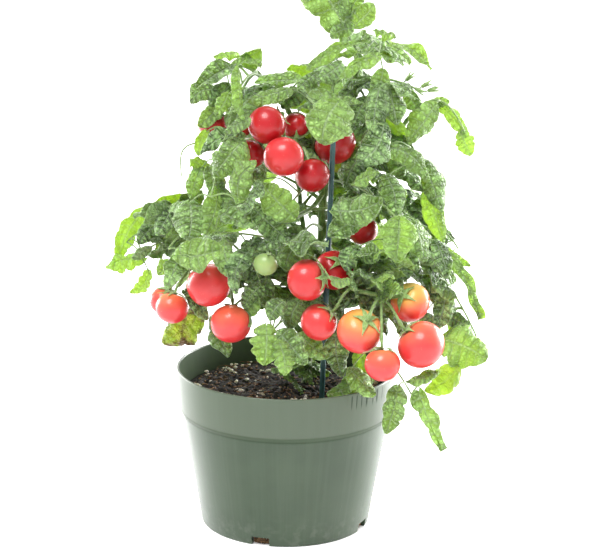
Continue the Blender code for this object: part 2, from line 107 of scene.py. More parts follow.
RIM_RADIUS = 0.0825
POT_HEIGHT = 0.1205
BASE_RADIUS = 0.0635
WALL = 0.0018
BAND_HEIGHT = 0.034
BAND_FOOT = POT_HEIGHT - BAND_HEIGHT
BAND_TAPER = 0.0022
BAND_STEP = 0.0022
WALL_TOP_RADIUS = RIM_RADIUS - BAND_TAPER - BAND_STEP
DRAIN_WIDTH = 0.0135
DRAIN_HEIGHT = 0.0068
DRAIN_BEARINGS = (-106, -24, 74, 154)
RAISED_FLOOR = 0.004
PAD_RADIUS = 0.030
FOOT_RING_WIDTH = 0.008
BEND_RADIUS = 0.0012
DRAIN_CUT = 0.008  # half of how far a drain's cutter reaches along the radius


class Flow:
    """One output of a material's nodes: arithmetic on it adds Math nodes, and add() any other node."""

    def __init__(self, socket):
        self.socket = socket

    def add(self, kind, inputs, output=0, stops=None, **settings):
        """Adds a node of a kind: its settings and ramp stops, then what each socket takes."""
        tree = self.socket.id_data
        node = tree.nodes.new("ShaderNode" + kind)
        for name, value in settings.items():
            setattr(node, name, value)
        for extra in (stops or ())[2:]:
            node.color_ramp.elements.new(extra[0])
        for number, (position, colour) in enumerate(stops or ()):
            node.color_ramp.elements[number].position = position
            node.color_ramp.elements[number].color = (*colour, 1)
        for name, value in inputs.items():
            feed(node.inputs[name], value)
        return Flow(node.outputs[output])

    def math(self, operation, *others):
        return self.add("Math", dict(enumerate((self, *others))), operation=operation)

    def __add__(self, other):
        return self.math("ADD", other)

    __radd__ = __add__

    def __sub__(self, other):
        return self.math("SUBTRACT", other)

    def __rsub__(self, other):
        return (self * -1.0).math("ADD", other)

    def __mul__(self, other):
        return self.math("MULTIPLY", other)

    __rmul__ = __mul__

    def __abs__(self):
        return self.math("ABSOLUTE")

    def rise(self, low, high):
        """0 below low, 1 above high, and a smooth rise between them."""
        ends = {"Value": self, "From Min": low, "From Max": high}
        return self.add("MapRange", ends, interpolation_type="SMOOTHSTEP")

    def mixed(self, first, second):
        """The first colour where this is 0 and the second where it is 1."""
        return self.add("Mix", {0: self, 6: first, 7: second}, output=2, data_type="RGBA")

    def noise(self, scale, detail=2.0):
        """Noise on these coordinates, from 0 to 1."""
        return self.add("TexNoise", {"Vector": self, "Scale": scale, "Detail": detail})

    def cells(self, scale, feature="F1"):
        """The distance to the nearest of many scattered points, or to the edge between two."""
        return self.add("TexVoronoi", {"Vector": self, "Scale": scale}, feature=feature)

    def split(self, kind="XYZ"):
        """The three parts of these coordinates, or of this colour."""
        parts = self.add("Separate" + kind, {0: self})
        return [Flow(socket) for socket in parts.socket.node.outputs]


def feed(socket, value):
    """Links a flow to a socket, or sets the socket to a value. A colour gets its alpha here."""
    if isinstance(value, Flow):
        socket.id_data.links.new(value.socket, socket)
    else:
        socket.default_value = (*value, 1.0) if socket.type == "RGBA" else value


def new_finish(name):
    """A material, and the coordinates that its pattern reads."""
    finish = bpy.data.materials.new(name)
    finish.use_nodes = True
    return finish, Flow(finish.node_tree.nodes.new("ShaderNodeTexCoord").outputs["Object"])


def dress(finish, colour, roughness, height=None, depth=None, strength=None, **others):
    """Feeds the shader of a material: its colour, roughness, bump, and any other socket by its name."""
    shader = finish.node_tree.nodes["Principled BSDF"]
    if height is not None:
        others["Normal"] = height.add("Bump", {"Height": height, "Distance": depth, "Strength": strength})
    for name, value in {"Base_Color": colour, "Roughness": roughness, **others}.items():
        feed(shader.inputs[name.replace("_", " ")], value)
    return shader


def quads_between(rows, columns, closed):
    """The quads between neighbours on a grid. Closed joins its last column to its first."""
    row = np.arange(rows - 1)[:, None] * columns
    column = np.arange(columns if closed else columns - 1)[None, :]
    following = (column + 1) % columns
    corners = (row + column, row + following, row + columns + following, row + columns + column)
    return np.stack(corners, -1).reshape(-1, 4)


def capped(rings, steps):
    """The faces of a body of rings of points, which ends in the two poles that close it."""
    column = np.arange(steps)
    following = (column + 1) % steps
    last = (rings - 1) * steps
    pole = np.full(steps, rings * steps)
    first_fan = np.stack((pole, following, column), -1)
    last_fan = np.stack((pole + 1, last + column, last + following), -1)
    return [quads_between(rings, steps, True), first_fan, last_fan]


def shape_of(points, faces, places=None, tone=(0.0, 0.0, 0.0), part=0):
    """One shape of a piece: its points, faces, flat coordinates, tone and which of the finishes it takes."""
    points = np.asarray(points, float).reshape(-1, 3)
    places = np.zeros((len(points), 2)) if places is None else np.asarray(places, float).reshape(-1, 2)
    tone = np.broadcast_to(np.asarray(tone, float), (len(points), 3))
    faces = [np.asarray(group) for group in faces if len(group)]
    return points, faces, places, tone, [np.full(len(group), part) for group in faces]


def piece(name, shapes, finishes):
    """One object of several shapes, riding on the root, with its finishes."""
    points = np.concatenate([shape[0] for shape in shapes])
    places = np.concatenate([shape[2] for shape in shapes])
    tones = np.concatenate([shape[3] for shape in shapes])
    firsts = np.cumsum([0] + [len(shape[0]) for shape in shapes[:-1]])
    faces = [group + first for shape, first in zip(shapes, firsts) for group in shape[1]]
    parts = np.concatenate([part for shape in shapes for part in shape[4]])
    mesh = bpy.data.meshes.new(name)
    mesh.from_pydata(points.tolist(), [], [face for group in faces for face in group.tolist()])
    mesh.shade_smooth()
    corners = np.concatenate([group.reshape(-1) for group in faces])
    mesh.uv_layers.new(name="places").data.foreach_set("uv", places[corners].reshape(-1))
    colours = np.concatenate((tones, np.ones((len(tones), 1))), 1)
    mesh.attributes.new("tone", "FLOAT_COLOR", "POINT").data.foreach_set("color", colours.reshape(-1))
    for finish in finishes:
        mesh.materials.append(finish)
    mesh.polygons.foreach_set("material_index", parts.astype(np.int32))
    made = bpy.data.objects.new(name, mesh)
    bpy.context.scene.collection.objects.link(made)
    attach(made, "root")
    return made


def rounded(profile, radius, steps=4):
    """A profile whose inner corners are replaced by short smooth bends of about that radius."""
    out = [profile[:1]]
    for before, corner, after in zip(profile, profile[1:], profile[2:]):
        arm_in = before - corner
        arm_out = after - corner
        reach = min(radius, np.linalg.norm(arm_in) / 2.1, np.linalg.norm(arm_out) / 2.1)
        start = corner + arm_in / np.linalg.norm(arm_in) * reach
        end = corner + arm_out / np.linalg.norm(arm_out) * reach
        t = np.linspace(0, 1, steps + 1)[:, None]
        out.append((1 - t) ** 2 * start + 2 * t * (1 - t) * corner + t**2 * end)
    out.append(profile[-1:])
    return np.concatenate(out)


def turned(profile, steps):
    """A closed body of revolution: each (radius, height) of a profile is a ring, and its ends are poles."""
    rings = profile[1:-1]
    bearing = np.linspace(0, 2 * np.pi, steps, endpoint=False)[None, :]
    radius = rings[:, :1]
    height = np.repeat(rings[:, 1:], steps, 1)
    body = np.stack((radius * np.cos(bearing), radius * np.sin(bearing), height), -1).reshape(-1, 3)
    poles = ((0, 0, profile[0, 1]), (0, 0, profile[-1, 1]))
    return np.concatenate((body, poles)), capped(len(rings), steps)


def cut_away(body, cutters):
    """Cuts the cutters out of the body for good, and removes them."""
    for cutter in cutters:
        difference = body.modifiers.new(cutter.name, "BOOLEAN")
        difference.operation = "DIFFERENCE"
        difference.solver = "EXACT"
        difference.object = cutter
    view = bpy.context.evaluated_depsgraph_get()
    mesh = bpy.data.meshes.new_from_object(body.evaluated_get(view))
    body.modifiers.clear()
    body.data = mesh
    for cutter in cutters:
        bpy.data.objects.remove(cutter)


def wall_radius(height):
    """The outside radius of the tapered wall at a height."""
    return BASE_RADIUS + (WALL_TOP_RADIUS - BASE_RADIUS) * height / BAND_FOOT


pot_plastic, place = new_finish("pot_plastic")
across, deep, high = place.split()
bearing = across.math("ARCTAN2", deep)
grain = place.noise(900, 3)
haze = place.noise(26, 4)
streaks = bearing.add("CombineXYZ", {"X": bearing * 9.0, "Z": high * 3.0}).noise(2.2, 3)
runs = bearing.add("CombineXYZ", {"X": bearing * 34.0, "Z": high * 9.0}).noise(1.0, 1)
on_whole_band = high.rise(BAND_FOOT - 0.001, BAND_FOOT + 0.002)
under_rim = high.rise(0.1060, 0.1115) * (1 - high.rise(0.1175, 0.1200))
on_right = across.rise(0.044, 0.050) * (1 - across.rise(0.070, 0.076)) * (1 - deep.rise(-0.045, -0.03))
drips = runs.rise(0.54, 0.61) * under_rim * on_right
above_ledge = high.rise(BAND_FOOT + 0.0030, BAND_FOOT + 0.0042)
# A narrow ring at the foot of the band's step: painted shade darkens the plastic there, and its coat is
# thinned.
shaded_ledge = high.rise(BAND_FOOT - 0.0016, BAND_FOOT - 0.0004) * (1 - above_ledge)
scuffs = place.add("Mapping", {"Vector": place, "Scale": (1, 1, 0.35)}).cells(240).rise(0.13, 0.05)
base_dust = (1 - high.rise(0.0, 0.03)) * place.noise(120, 4).rise(0.45, 0.7)
green = haze.rise(0.3, 0.75).mixed((0.032, 0.057, 0.029), (0.041, 0.068, 0.036))
green = (on_whole_band * 0.85).mixed(green, (0.076, 0.103, 0.066))
green = (streaks.rise(0.42, 0.7) * 0.08).mixed(green, (0.098, 0.132, 0.092))
green = (base_dust * 0.25).mixed(green, (0.16, 0.18, 0.14))
# Painted shade under the band's step.
green = (shaded_ledge * 0.35).mixed(green, (0.034, 0.052, 0.030))
green = (drips * 0.85).mixed(green, (0.014, 0.024, 0.014))
gloss = haze * 0.12 + grain * 0.08 + drips * 0.2 + 0.27
texture = grain * 0.25 + scuffs * 0.35 + streaks * 0.05
dress(
    pot_plastic, green, gloss, texture, 0.0002, 0.6, Specular_IOR_Level=0.08,
    Coat_Weight=(1 - shaded_ledge * 0.9) * (1 - drips) * 0.55, Coat_Roughness=0.20, Coat_IOR=1.6,
)

outline = np.array((
    (0, 0), (PAD_RADIUS, 0),
    (PAD_RADIUS + 0.004, RAISED_FLOOR), (BASE_RADIUS - FOOT_RING_WIDTH, RAISED_FLOOR),
    (BASE_RADIUS - 0.0065, 0), (BASE_RADIUS, 0), (wall_radius(BAND_FOOT - 0.0004), BAND_FOOT - 0.0004),
    (WALL_TOP_RADIUS + BAND_STEP, BAND_FOOT + 0.0028), (RIM_RADIUS, POT_HEIGHT),
    (RIM_RADIUS - WALL, POT_HEIGHT), (WALL_TOP_RADIUS + BAND_STEP - WALL, BAND_FOOT + 0.0032),
    (WALL_TOP_RADIUS - WALL, BAND_FOOT), (BASE_RADIUS - WALL, RAISED_FLOOR + WALL),
    (PAD_RADIUS, RAISED_FLOOR + WALL), (0, RAISED_FLOOR + WALL),
))
pot = piece("pot_body", [shape_of(*turned(rounded(outline, BEND_RADIUS), 160))], [pot_plastic])
drains = []
for bearing_degrees in DRAIN_BEARINGS:
    half_sizes = np.array((DRAIN_CUT, DRAIN_WIDTH / 2, DRAIN_HEIGHT))
    corners = np.array([(x, y, z) for x in (-1, 1) for y in (-1, 1) for z in (-1, 1)]) * half_sizes
    spin = np.array(Matrix.Rotation(math.radians(bearing_degrees), 3, "Z"))
    corners = (corners + (BASE_RADIUS, 0, 0)) @ spin.T
    sides = np.array(((0, 1, 3, 2), (4, 6, 7, 5), (0, 4, 5, 1), (2, 3, 7, 6), (0, 2, 6, 4), (1, 5, 7, 3)))
    box = shape_of(corners, [sides])
    drains.append(piece(f"drain_{bearing_degrees}", [box], [pot_plastic]))
cut_away(pot, drains)
pot.data.shade_smooth()
pot.data.set_sharp_from_angle(angle=math.radians(50))
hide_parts("pot")


# ------------------------------------------------------------------ the potting mix
# Black composted peat with bark fines, filled to 19 mm under the rim: a crumbly top that dips
# towards the wall, with chips of bark, strands of fibre and white puffs of perlite lying on it.

MIX_TOP = POT_HEIGHT - 0.019
MIX_BOTTOM = RAISED_FLOOR + WALL + 0.0006
MIX_RADIUS = wall_radius(BAND_FOOT) + BAND_STEP - WALL - 0.0003
CRUMB_COUNT = 1500
CRUMB_SIZES = (0.0008, 0.0028)
PERLITE_COUNT = 150
PERLITE_HALF_SIZES = (0.0017, 0.0014, 0.0012)
BARK_COUNT = 620
BARK_HALF_SIZES = (0.0021, 0.0008, 0.0005)
STRAND_COUNT = 90
STRAND_RADIUS = 0.00022
ROOT_COUNT = 70  # in each drain slot
ROOT_RADII = (0.0002, 0.0005)

earth, place = new_finish("potting_mix")
fine = place.noise(700, 4)
clods = place.noise(160, 3)
soil_colour = clods.rise(0.35, 0.7).mixed((0.004, 0.003, 0.002), (0.020, 0.012, 0.006))
soil_colour = (fine.rise(0.62, 0.78) * 0.6).mixed(soil_colour, (0.13, 0.075, 0.03))
dress(earth, soil_colour, fine * 0.2 + 0.75, fine + clods * 0.6, 0.0012, 0.9)

bark_chip, place = new_finish("bark_chip")
layers = place.add("Mapping", {"Vector": place, "Scale": (1, 1, 4)}).noise(420, 3)
bark_colour = layers.rise(0.3, 0.7).mixed((0.045, 0.022, 0.010), (0.26, 0.145, 0.060))
dress(bark_chip, bark_colour, 0.8, layers, 0.0006, 0.7)

perlite, place = new_finish("perlite")
pores = place.cells(1400)
puff_colour = place.noise(500, 2).rise(0.3, 0.7).mixed((0.74, 0.66, 0.50), (0.92, 0.89, 0.80))
puff_colour = (1 - pores.rise(0.1, 0.35)).mixed(puff_colour, (0.30, 0.26, 0.19))
dress(perlite, puff_colour, 0.85, pores, 0.0005, 0.8)

chance = np.random.default_rng(7)


def mix_height(x, y):
    """The height of the mix's surface: a low mound round the stem that sinks to the wall, with slow waves."""
    out = np.hypot(x, y) / MIX_RADIUS
    waves = 0.0012 * np.sin(60 * x + 1.2) * np.cos(50 * y - 0.4) + 0.0008 * np.sin(3 * np.arctan2(y, x) + 1)
    return MIX_TOP + 0.0012 - 0.003 * out**4 + waves * (1 - out**4)


rings, sectors = 90, 210
out = np.sqrt(np.linspace(0.0002, 1, rings))[:, None] * MIX_RADIUS
bearings = np.linspace(0, 2 * np.pi, sectors, endpoint=False)[None, :]
grid = np.stack(((out * np.cos(bearings)).ravel(), (out * np.sin(bearings)).ravel()), -1)
crumb_bearing = chance.uniform(0, 2 * np.pi, CRUMB_COUNT)
crumb_out = MIX_RADIUS * np.sqrt(chance.uniform(0, 1, CRUMB_COUNT))
crumbs = np.stack((crumb_out * np.cos(crumb_bearing), crumb_out * np.sin(crumb_bearing)), -1)
crumb_sizes = chance.uniform(*CRUMB_SIZES, CRUMB_COUNT)
apart = ((grid[:, None, :] - crumbs[None, :, :]) ** 2).sum(-1)
heaps = np.sqrt(np.clip(crumb_sizes[None, :] ** 2 - apart, 0, None)).max(1)
edge = 1 - (np.hypot(grid[:, 0], grid[:, 1]) / MIX_RADIUS) ** 12
top_heights = mix_height(grid[:, 0], grid[:, 1]) + heaps * edge
crust = np.concatenate((grid, top_heights[:, None]), 1)
under = np.array((
    (wall_radius(BAND_FOOT) - WALL - 0.0006, BAND_FOOT - 0.001),
    (BASE_RADIUS - WALL - 0.0012, RAISED_FLOOR + WALL + 0.0028),
    (0.04, MIX_BOTTOM),
))
skirt = np.stack([
    np.stack((r * np.cos(bearings[0]), r * np.sin(bearings[0]), np.full(sectors, z)), -1) for r, z in under
]).reshape(-1, 3)
body = np.concatenate((crust, skirt, [(0, 0, MIX_TOP + 0.002), (0, 0, MIX_BOTTOM)]))
outward = [group[:, ::-1] for group in capped(rings + len(under), sectors)]
mix = piece("mix_body", [shape_of(body, outward)], [earth])
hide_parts("potting_mix")


def scattered(count, sizes, rng, lift):
    """Jittered lumps of given half-sizes lying on the mix, each turned its own way."""
    angle = np.linspace(0, np.pi, 5)
    ball, faces = turned(np.stack((np.sin(angle), -np.cos(angle)), -1), 6)
    shapes = []
    for _ in range(count):
        out = MIX_RADIUS * 0.97 * math.sqrt(rng.uniform(0.006, 1))
        around = rng.uniform(0, 2 * math.pi)
        x, y = out * math.cos(around), out * math.sin(around)
        size = np.array(sizes) * rng.uniform(0.45, 1.25) * rng.uniform(0.7, 1.3, 3)
        rough = ball * (1 + rng.uniform(-0.28, 0.28, (len(ball), 1)))
        tilt = Matrix.Rotation(rng.uniform(0, 6.28), 3, "Z") @ Matrix.Rotation(rng.uniform(-0.6, 0.6), 3, "X")
        centre = (x, y, mix_height(x, y) + 0.0011 + lift * size[2])
        shapes.append(shape_of((rough * size) @ np.array(tilt).T + centre, faces))
    return shapes


puffs = scattered(PERLITE_COUNT, PERLITE_HALF_SIZES, chance, 0.5)
piece("perlite_puffs", puffs, [perlite])
chips = scattered(BARK_COUNT, BARK_HALF_SIZES, chance, 0.7)
piece("bark_chips", chips, [bark_chip])


def smooth_path(points, shares):
    """Points at shares of the way along a smooth (Catmull-Rom) path through the given points."""
    points = np.asarray(points, float)
    spans = len(points) - 1
    place = np.asarray(shares, float) * spans
    span = np.minimum(place.astype(int), spans - 1)
    t = (place - span)[:, None]
    before = points[np.maximum(span - 1, 0)]
    start, end = points[span], points[span + 1]
    after = points[np.minimum(span + 2, spans)]
    steady = 2 * start + (end - before) * t
    bend = (2 * before - 5 * start + 4 * end - after) * t**2
    return 0.5 * (steady + bend + (3 * start - before - 3 * end + after) * t**3)


def tube(centres, radii, sides, part=0):
    """A closed round tube along a path of points, with a radius at each, and a pole at each end."""
    centres = np.asarray(centres, float)
    radii = np.broadcast_to(np.asarray(radii, float), (len(centres),))
    run = np.gradient(centres, axis=0)
    run /= np.linalg.norm(run, axis=1, keepdims=True)
    axes = np.eye(3)
    reference = axes[np.abs(run @ axes.T).max(0).argmin()]
    side = np.cross(run, reference)
    side /= np.linalg.norm(side, axis=1, keepdims=True)
    other = np.cross(run, side)
    angle = np.linspace(0, 2 * np.pi, sides, endpoint=False)
    spokes = side[:, None] * np.cos(angle)[None, :, None] + other[:, None] * np.sin(angle)[None, :, None]
    body = (centres[:, None] + spokes * radii[:, None, None]).reshape(-1, 3)
    tips = np.array((centres[0] - run[0] * radii[0] * 0.5, centres[-1] + run[-1] * radii[-1] * 0.5))
    length = np.concatenate(((0,), np.cumsum(np.linalg.norm(np.diff(centres, axis=0), axis=1))))
    places = np.stack((np.tile(angle / 6.2832, len(centres)), np.repeat(length * 100, sides)), -1)
    places = np.concatenate((places, [(0, 0), (0, length[-1] * 100)]))
    return shape_of(np.concatenate((body, tips)), capped(len(centres), sides), places, part=part)


def shell(middle, thickness, places=None, tone=(0, 0, 0), parts=(0, 0)):
    """A thin closed sheet round a grid of points: its upper face, its under face and the rim between."""
    rows, columns = middle.shape[:2]
    out = np.cross(np.gradient(middle, axis=1), np.gradient(middle, axis=0))
    out /= np.linalg.norm(out, axis=2, keepdims=True) + 1e-12
    faces_of = (middle + out * thickness / 2, middle - out * thickness / 2)
    points = np.concatenate([face.reshape(-1, 3) for face in faces_of])
    grid = np.arange(rows * columns).reshape(rows, columns)
    border = np.concatenate((grid[0, :-1], grid[:-1, -1], grid[-1, :0:-1], grid[:0:-1, 0]))
    following = np.roll(border, -1)
    count = rows * columns
    upper = quads_between(rows, columns, False)
    rim = np.stack((border + count, following + count, following, border), -1)
    places = None if places is None else np.concatenate((places.reshape(-1, 2),) * 2)
    points, faces, places, tone, part = shape_of(points, [upper, upper[:, ::-1] + count, rim], places, tone)
    return points, faces, places, tone, [part[0] + parts[0], part[1] + parts[1], part[2] + parts[1]]


strands = []
for _ in range(STRAND_COUNT):
    out = MIX_RADIUS * 0.93 * math.sqrt(chance.uniform(0.01, 1))
    around = chance.uniform(0, 6.28)
    middle = np.array((out * math.cos(around), out * math.sin(around)))
    heading = chance.uniform(0, 3.14)
    reach = chance.uniform(0.002, 0.006)
    steps = np.linspace(-1, 1, 5)[:, None]
    line = middle + steps * reach * (math.cos(heading), math.sin(heading)) + chance.normal(0, 0.0006, (5, 2))
    height = mix_height(line[:, 0], line[:, 1]) + 0.0024 + 0.0005 * (1 - steps[:, 0] ** 2)
    strands.append(tube(np.concatenate((line, height[:, None]), 1), STRAND_RADIUS, 4))
piece("peat_fibres", strands, [bark_chip])

roots = []
for bearing_degrees in DRAIN_BEARINGS:
    middle = math.radians(bearing_degrees)
    spread = np.linspace(-1, 1, 13)[None, :] * (DRAIN_WIDTH / 2 - 0.0004) / BASE_RADIUS + middle
    rise = np.linspace(0.0006, RAISED_FLOOR - 0.0003, 7)[:, None]
    out = BASE_RADIUS - 0.0046 + chance.normal(0, 0.0005, (7, 13))
    roots.append(shell(np.stack((out * np.cos(spread), out * np.sin(spread), rise + 0 * spread), -1), 0.0012))
    for _ in range(ROOT_COUNT):
        side, start, end = chance.uniform(-1, 1), chance.uniform(0.0008, 0.006), chance.uniform(0.0008, 0.006)
        side = np.clip(side + chance.normal(0, 0.25) * np.linspace(0, 1, 6), -0.93, 0.93)
        bearings_on = middle + side * DRAIN_WIDTH / 2 / BASE_RADIUS
        out = BASE_RADIUS - 0.0032 + chance.normal(0, 0.0004, 6)
        heights = np.linspace(start, end, 6)
        line = np.stack((out * np.cos(bearings_on), out * np.sin(bearings_on), heights), -1)
        roots.append(tube(line, chance.uniform(*ROOT_RADII), 5, part=1))
piece("drain_roots", roots, [earth, bark_chip])


# ------------------------------------------------------------------ the stake
# A steel plant stake in a skin of blue-green plastic, pushed down through the mix beside the stem.
# Its skin is moulded with rows of small nubs that keep ties from sliding, and its top is domed.

STAKE_FOOT = np.array((0.0245, -0.0245, 0.030))
STAKE_TOP = np.array((0.0320, -0.0300, 0.300))
STAKE_RADIUS = 0.0019
NUB_HEIGHT = 0.00022
NUB_ROWS = 30

stake_skin, place = new_finish("stake_skin")
wear = place.noise(90, 4)
teal = wear.rise(0.35, 0.75).mixed((0.016, 0.066, 0.070), (0.035, 0.105, 0.108))
dusty = place.noise(600, 3).rise(0.55, 0.75) * 0.35
dress(stake_skin, dusty.mixed(teal, (0.12, 0.17, 0.16)), wear * 0.2 + 0.35, place.noise(800), 0.0001, 0.5)

stations = np.linspace(0, 1, 240)
line = STAKE_FOOT + stations[:, None] * (STAKE_TOP - STAKE_FOOT)
nubs = 0.5 + 0.5 * np.cos(2 * np.pi * stations * NUB_ROWS)
tip = np.sqrt(np.clip(1 - np.clip((stations - 0.994) / 0.006, 0, 1) ** 2, 0.02, 1))
rod = tube(line, (STAKE_RADIUS + NUB_HEIGHT * nubs**6) * tip, 20)
stake = piece("stake_rod", [rod], [stake_skin])
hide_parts("support_stake")


# ------------------------------------------------------------------ the stems
# The main stem and its side shoots are one green, ridged, downy growth. It is thick and a little
# woody where it leaves the mix, swells at every joint, and thins towards the shoot tips.

STEMS = {
    "main": (
        ((0.014, 0.006, 0.090), (0.018, 0.008, 0.150), (0.024, 0.012, 0.210), (0.027, 0.017, 0.255),
         (0.034, 0.018, 0.292), (0.044, 0.010, 0.326), (0.053, 0.004, 0.354)),
        0.0036, 0.0017,
    ),
    "upper_left": (
        ((0.0262, 0.0155, 0.246), (0.012, 0.024, 0.285), (-0.004, 0.020, 0.317), (-0.024, 0.008, 0.342)),
        0.0024, 0.0014,
    ),
    "lower_left": (
        ((0.0172, 0.0077, 0.138), (-0.012, 0.000, 0.172), (-0.045, -0.008, 0.202), (-0.080, -0.012, 0.226)),
        0.0026, 0.0014,
    ),
    "lower_right": (
        ((0.0180, 0.0080, 0.148), (0.045, -0.004, 0.182), (0.075, -0.012, 0.210), (0.104, -0.012, 0.232)),
        0.0026, 0.0014,
    ),
    "upper_right": (
        ((0.0247, 0.0126, 0.216), (0.050, 0.018, 0.256), (0.072, 0.014, 0.288), (0.092, 0.006, 0.314)),
        0.0024, 0.0014,
    ),
    "back": (
        ((0.0184, 0.0082, 0.155), (0.014, 0.034, 0.195), (0.008, 0.058, 0.240), (0.002, 0.072, 0.286)),
        0.0024, 0.0014,
    ),
}
HAIR_LENGTH = 0.0009
HAIR_WIDTH = 0.00009
HAIR_COUNT = 2600  # on a stem as long as STEM_REACH
STEM_REACH = 0.26
JOINT_COUNT = 7  # on each stem
JOINT_SWELL = 0.22
FOOT_SWELL = 0.5

stem_skin, place = new_finish("stem_skin")
high = place.split()[2]
ridges = place.add("Mapping", {"Vector": place, "Scale": (1, 1, 0.12)}).noise(900, 2)
blotches = place.noise(110, 3)
stem_green = ridges.rise(0.3, 0.7).mixed((0.085, 0.155, 0.030), (0.185, 0.285, 0.080))
stem_green = (blotches.rise(0.55, 0.75) * 0.4).mixed(stem_green, (0.20, 0.20, 0.06))
woody = (1 - high.rise(0.105, 0.165)) * 0.65
stem_green = woody.mixed(stem_green, (0.10, 0.085, 0.035))
gloss = blotches * 0.25 + 0.45
dress(stem_skin, stem_green, gloss, ridges, 0.0005, 0.7, Sheen_Weight=0.35, Sheen_Roughness=0.4)

stalk_skin, place = new_finish("stalk_skin")
ridges = place.noise(700, 3)
stalk_green = ridges.rise(0.3, 0.7).mixed((0.120, 0.215, 0.045), (0.250, 0.370, 0.120))
gloss = ridges * 0.2 + 0.42
dress(stalk_skin, stalk_green, gloss, ridges, 0.0003, 0.6, Sheen_Weight=0.4, Sheen_Roughness=0.4)

down, place = new_finish("down")
dress(down, place.noise(300).mixed((0.50, 0.60, 0.36), (0.70, 0.76, 0.55)), 0.6)


def stem_line(name, shares):
    """Points along a stem at given shares of its length."""
    return smooth_path(STEMS[name][0], shares)


def off_stem(name, share, towards, gap):
    """The point just off a stem's surface at a share of its length, on the side that faces towards."""
    low, axis, high_point = stem_line(name, (max(share - 0.02, 0), share, min(share + 0.02, 1)))
    run = (high_point - low) / np.linalg.norm(high_point - low)
    side = np.asarray(towards) - axis
    side = side - side @ run * run
    start, end = STEMS[name][1:]
    return axis + side / np.linalg.norm(side) * (start + (end - start) * share + gap)


def hairs(centres, radii, count, rng, part=1):
    """Fine three-sided spikes standing out from a tube at random places along it and round it."""
    centres = np.asarray(centres, float)
    radii = np.broadcast_to(np.asarray(radii, float), (len(centres),))
    spot = rng.uniform(0.02, 0.98, count) * (len(centres) - 1)
    low = spot.astype(int)
    t = (spot - low)[:, None]
    middle = centres[low] * (1 - t) + centres[low + 1] * t
    radius = radii[low, None] * (1 - t) + radii[low + 1, None] * t
    run = centres[low + 1] - centres[low]
    run /= np.linalg.norm(run, axis=1, keepdims=True)
    out = rng.normal(0, 1, (count, 3))
    out -= (out * run).sum(1, keepdims=True) * run
    out /= np.linalg.norm(out, axis=1, keepdims=True)
    side = np.cross(run, out)
    root = middle + out * radius * 0.92
    lean = out + rng.normal(0, 0.35, (count, 3))
    tip = root + lean * HAIR_LENGTH * rng.uniform(0.5, 1.2, (count, 1))
    half = HAIR_WIDTH / 2
    base = (root - side * half, root + side * half, root + run * half * 1.7)
    points = np.stack((*base, tip), 1).reshape(-1, 3)
    first = 4 * np.arange(count)[:, None]
    faces = np.concatenate([first + np.array(f) for f in ((0, 1, 3), (1, 2, 3), (2, 0, 3), (0, 2, 1))])
    return shape_of(points, [faces], part=part)


stem_shapes = []
for name, (points, start, end) in STEMS.items():
    shares = np.linspace(0, 1, 24 * (len(points) - 1))
    joints = np.exp(-(((shares * JOINT_COUNT + 0.35) % 1 - 0.5) / 0.07) ** 2)
    wobble = np.stack((np.sin(shares * 40), np.cos(shares * 33), np.zeros_like(shares)), -1)
    line = smooth_path(points, shares) + 0.0004 * wobble
    radii = (start + (end - start) * shares) * (1 + JOINT_SWELL * joints)
    radii *= 1 + FOOT_SWELL * np.exp(-shares / 0.03) * (name == "main")
    stem_shapes.append(tube(line, radii, 16))
    stem_shapes.append(hairs(line, radii, int(HAIR_COUNT * np.ptp(points, 0).max() / STEM_REACH), chance))
stems = piece("stems", stem_shapes, [stem_skin, down])
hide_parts("main_stem")


# ------------------------------------------------------------------ the tomatoes
# Cherry tomatoes on five trusses, at every stage: green and white, orange-shouldered, pink and
# deep red. The skin is waxy and tight over shallow lobes, sunk a little where the calyx sits.

TOMATOES = (
    ("upper", (-0.0156, -0.0350, 0.3106), 0.0138, (0.55, 0.55, 0.35), 1.0),
    ("upper", (-0.0032, -0.0500, 0.2907), 0.0143, (0.25, 0.80, 0.45), 0.9),
    ("upper", (0.0173, -0.0350, 0.2743), 0.0126, (-0.20, 0.60, 0.75), 1.0),
    ("upper", (0.0337, -0.0080, 0.2927), 0.0158, (-0.75, 0.20, 0.35), 1.0),
    ("upper", (-0.0267, -0.0220, 0.2871), 0.0104, (0.70, 0.25, 0.60), 1.0),
    ("upper", (0.0048, -0.0100, 0.3055), 0.0098, (0.10, -0.35, -0.80), 1.0),
    ("upper_left", (-0.0554, -0.0100, 0.3060), 0.0110, (0.55, 0.45, 0.60), 0.95),
    ("upper_left", (-0.0330, 0.0420, 0.2980), 0.0125, (0.45, -0.45, 0.70), 0.9),
    ("middle", (0.0554, -0.0050, 0.2272), 0.0112, (-0.45, 0.10, 0.80), 1.0),
    ("middle", (-0.0153, -0.0650, 0.2160), 0.0086, (0.30, 0.45, 0.80), 0.0),
    ("right", (0.0337, -0.0460, 0.2072), 0.0143, (0.35, -0.60, 0.65), 1.0),
    ("right", (0.0143, -0.0710, 0.2061), 0.0147, (0.85, -0.35, 0.20), 0.85),
    ("right", (0.0232, -0.0700, 0.1750), 0.0136, (0.70, -0.10, 0.66), 0.8),
    ("right", (0.0519, -0.0830, 0.1724), 0.0162, (0.30, -0.55, 0.70), 0.60),
    ("right", (0.0885, -0.0600, 0.1878), 0.0143, (-0.50, -0.60, 0.58), 0.53),
    ("right", (0.0955, -0.0850, 0.1636), 0.0172, (-0.70, 0.05, 0.68), 0.74),
    ("right", (0.0680, -0.1000, 0.1532), 0.0126, (-0.05, 0.30, 0.95), 0.7),
    ("left", (-0.0562, -0.0500, 0.1960), 0.0160, (-0.30, 0.80, 0.50), 0.8),
    ("left", (-0.0830, -0.0450, 0.1772), 0.0120, (0.20, 0.35, 0.90), 0.7),
    ("left", (-0.0907, -0.0190, 0.1753), 0.0108, (0.45, -0.10, 0.85), 0.75),
    ("left", (-0.0401, -0.0550, 0.1688), 0.0145, (0.05, 0.70, 0.70), 0.7),
)
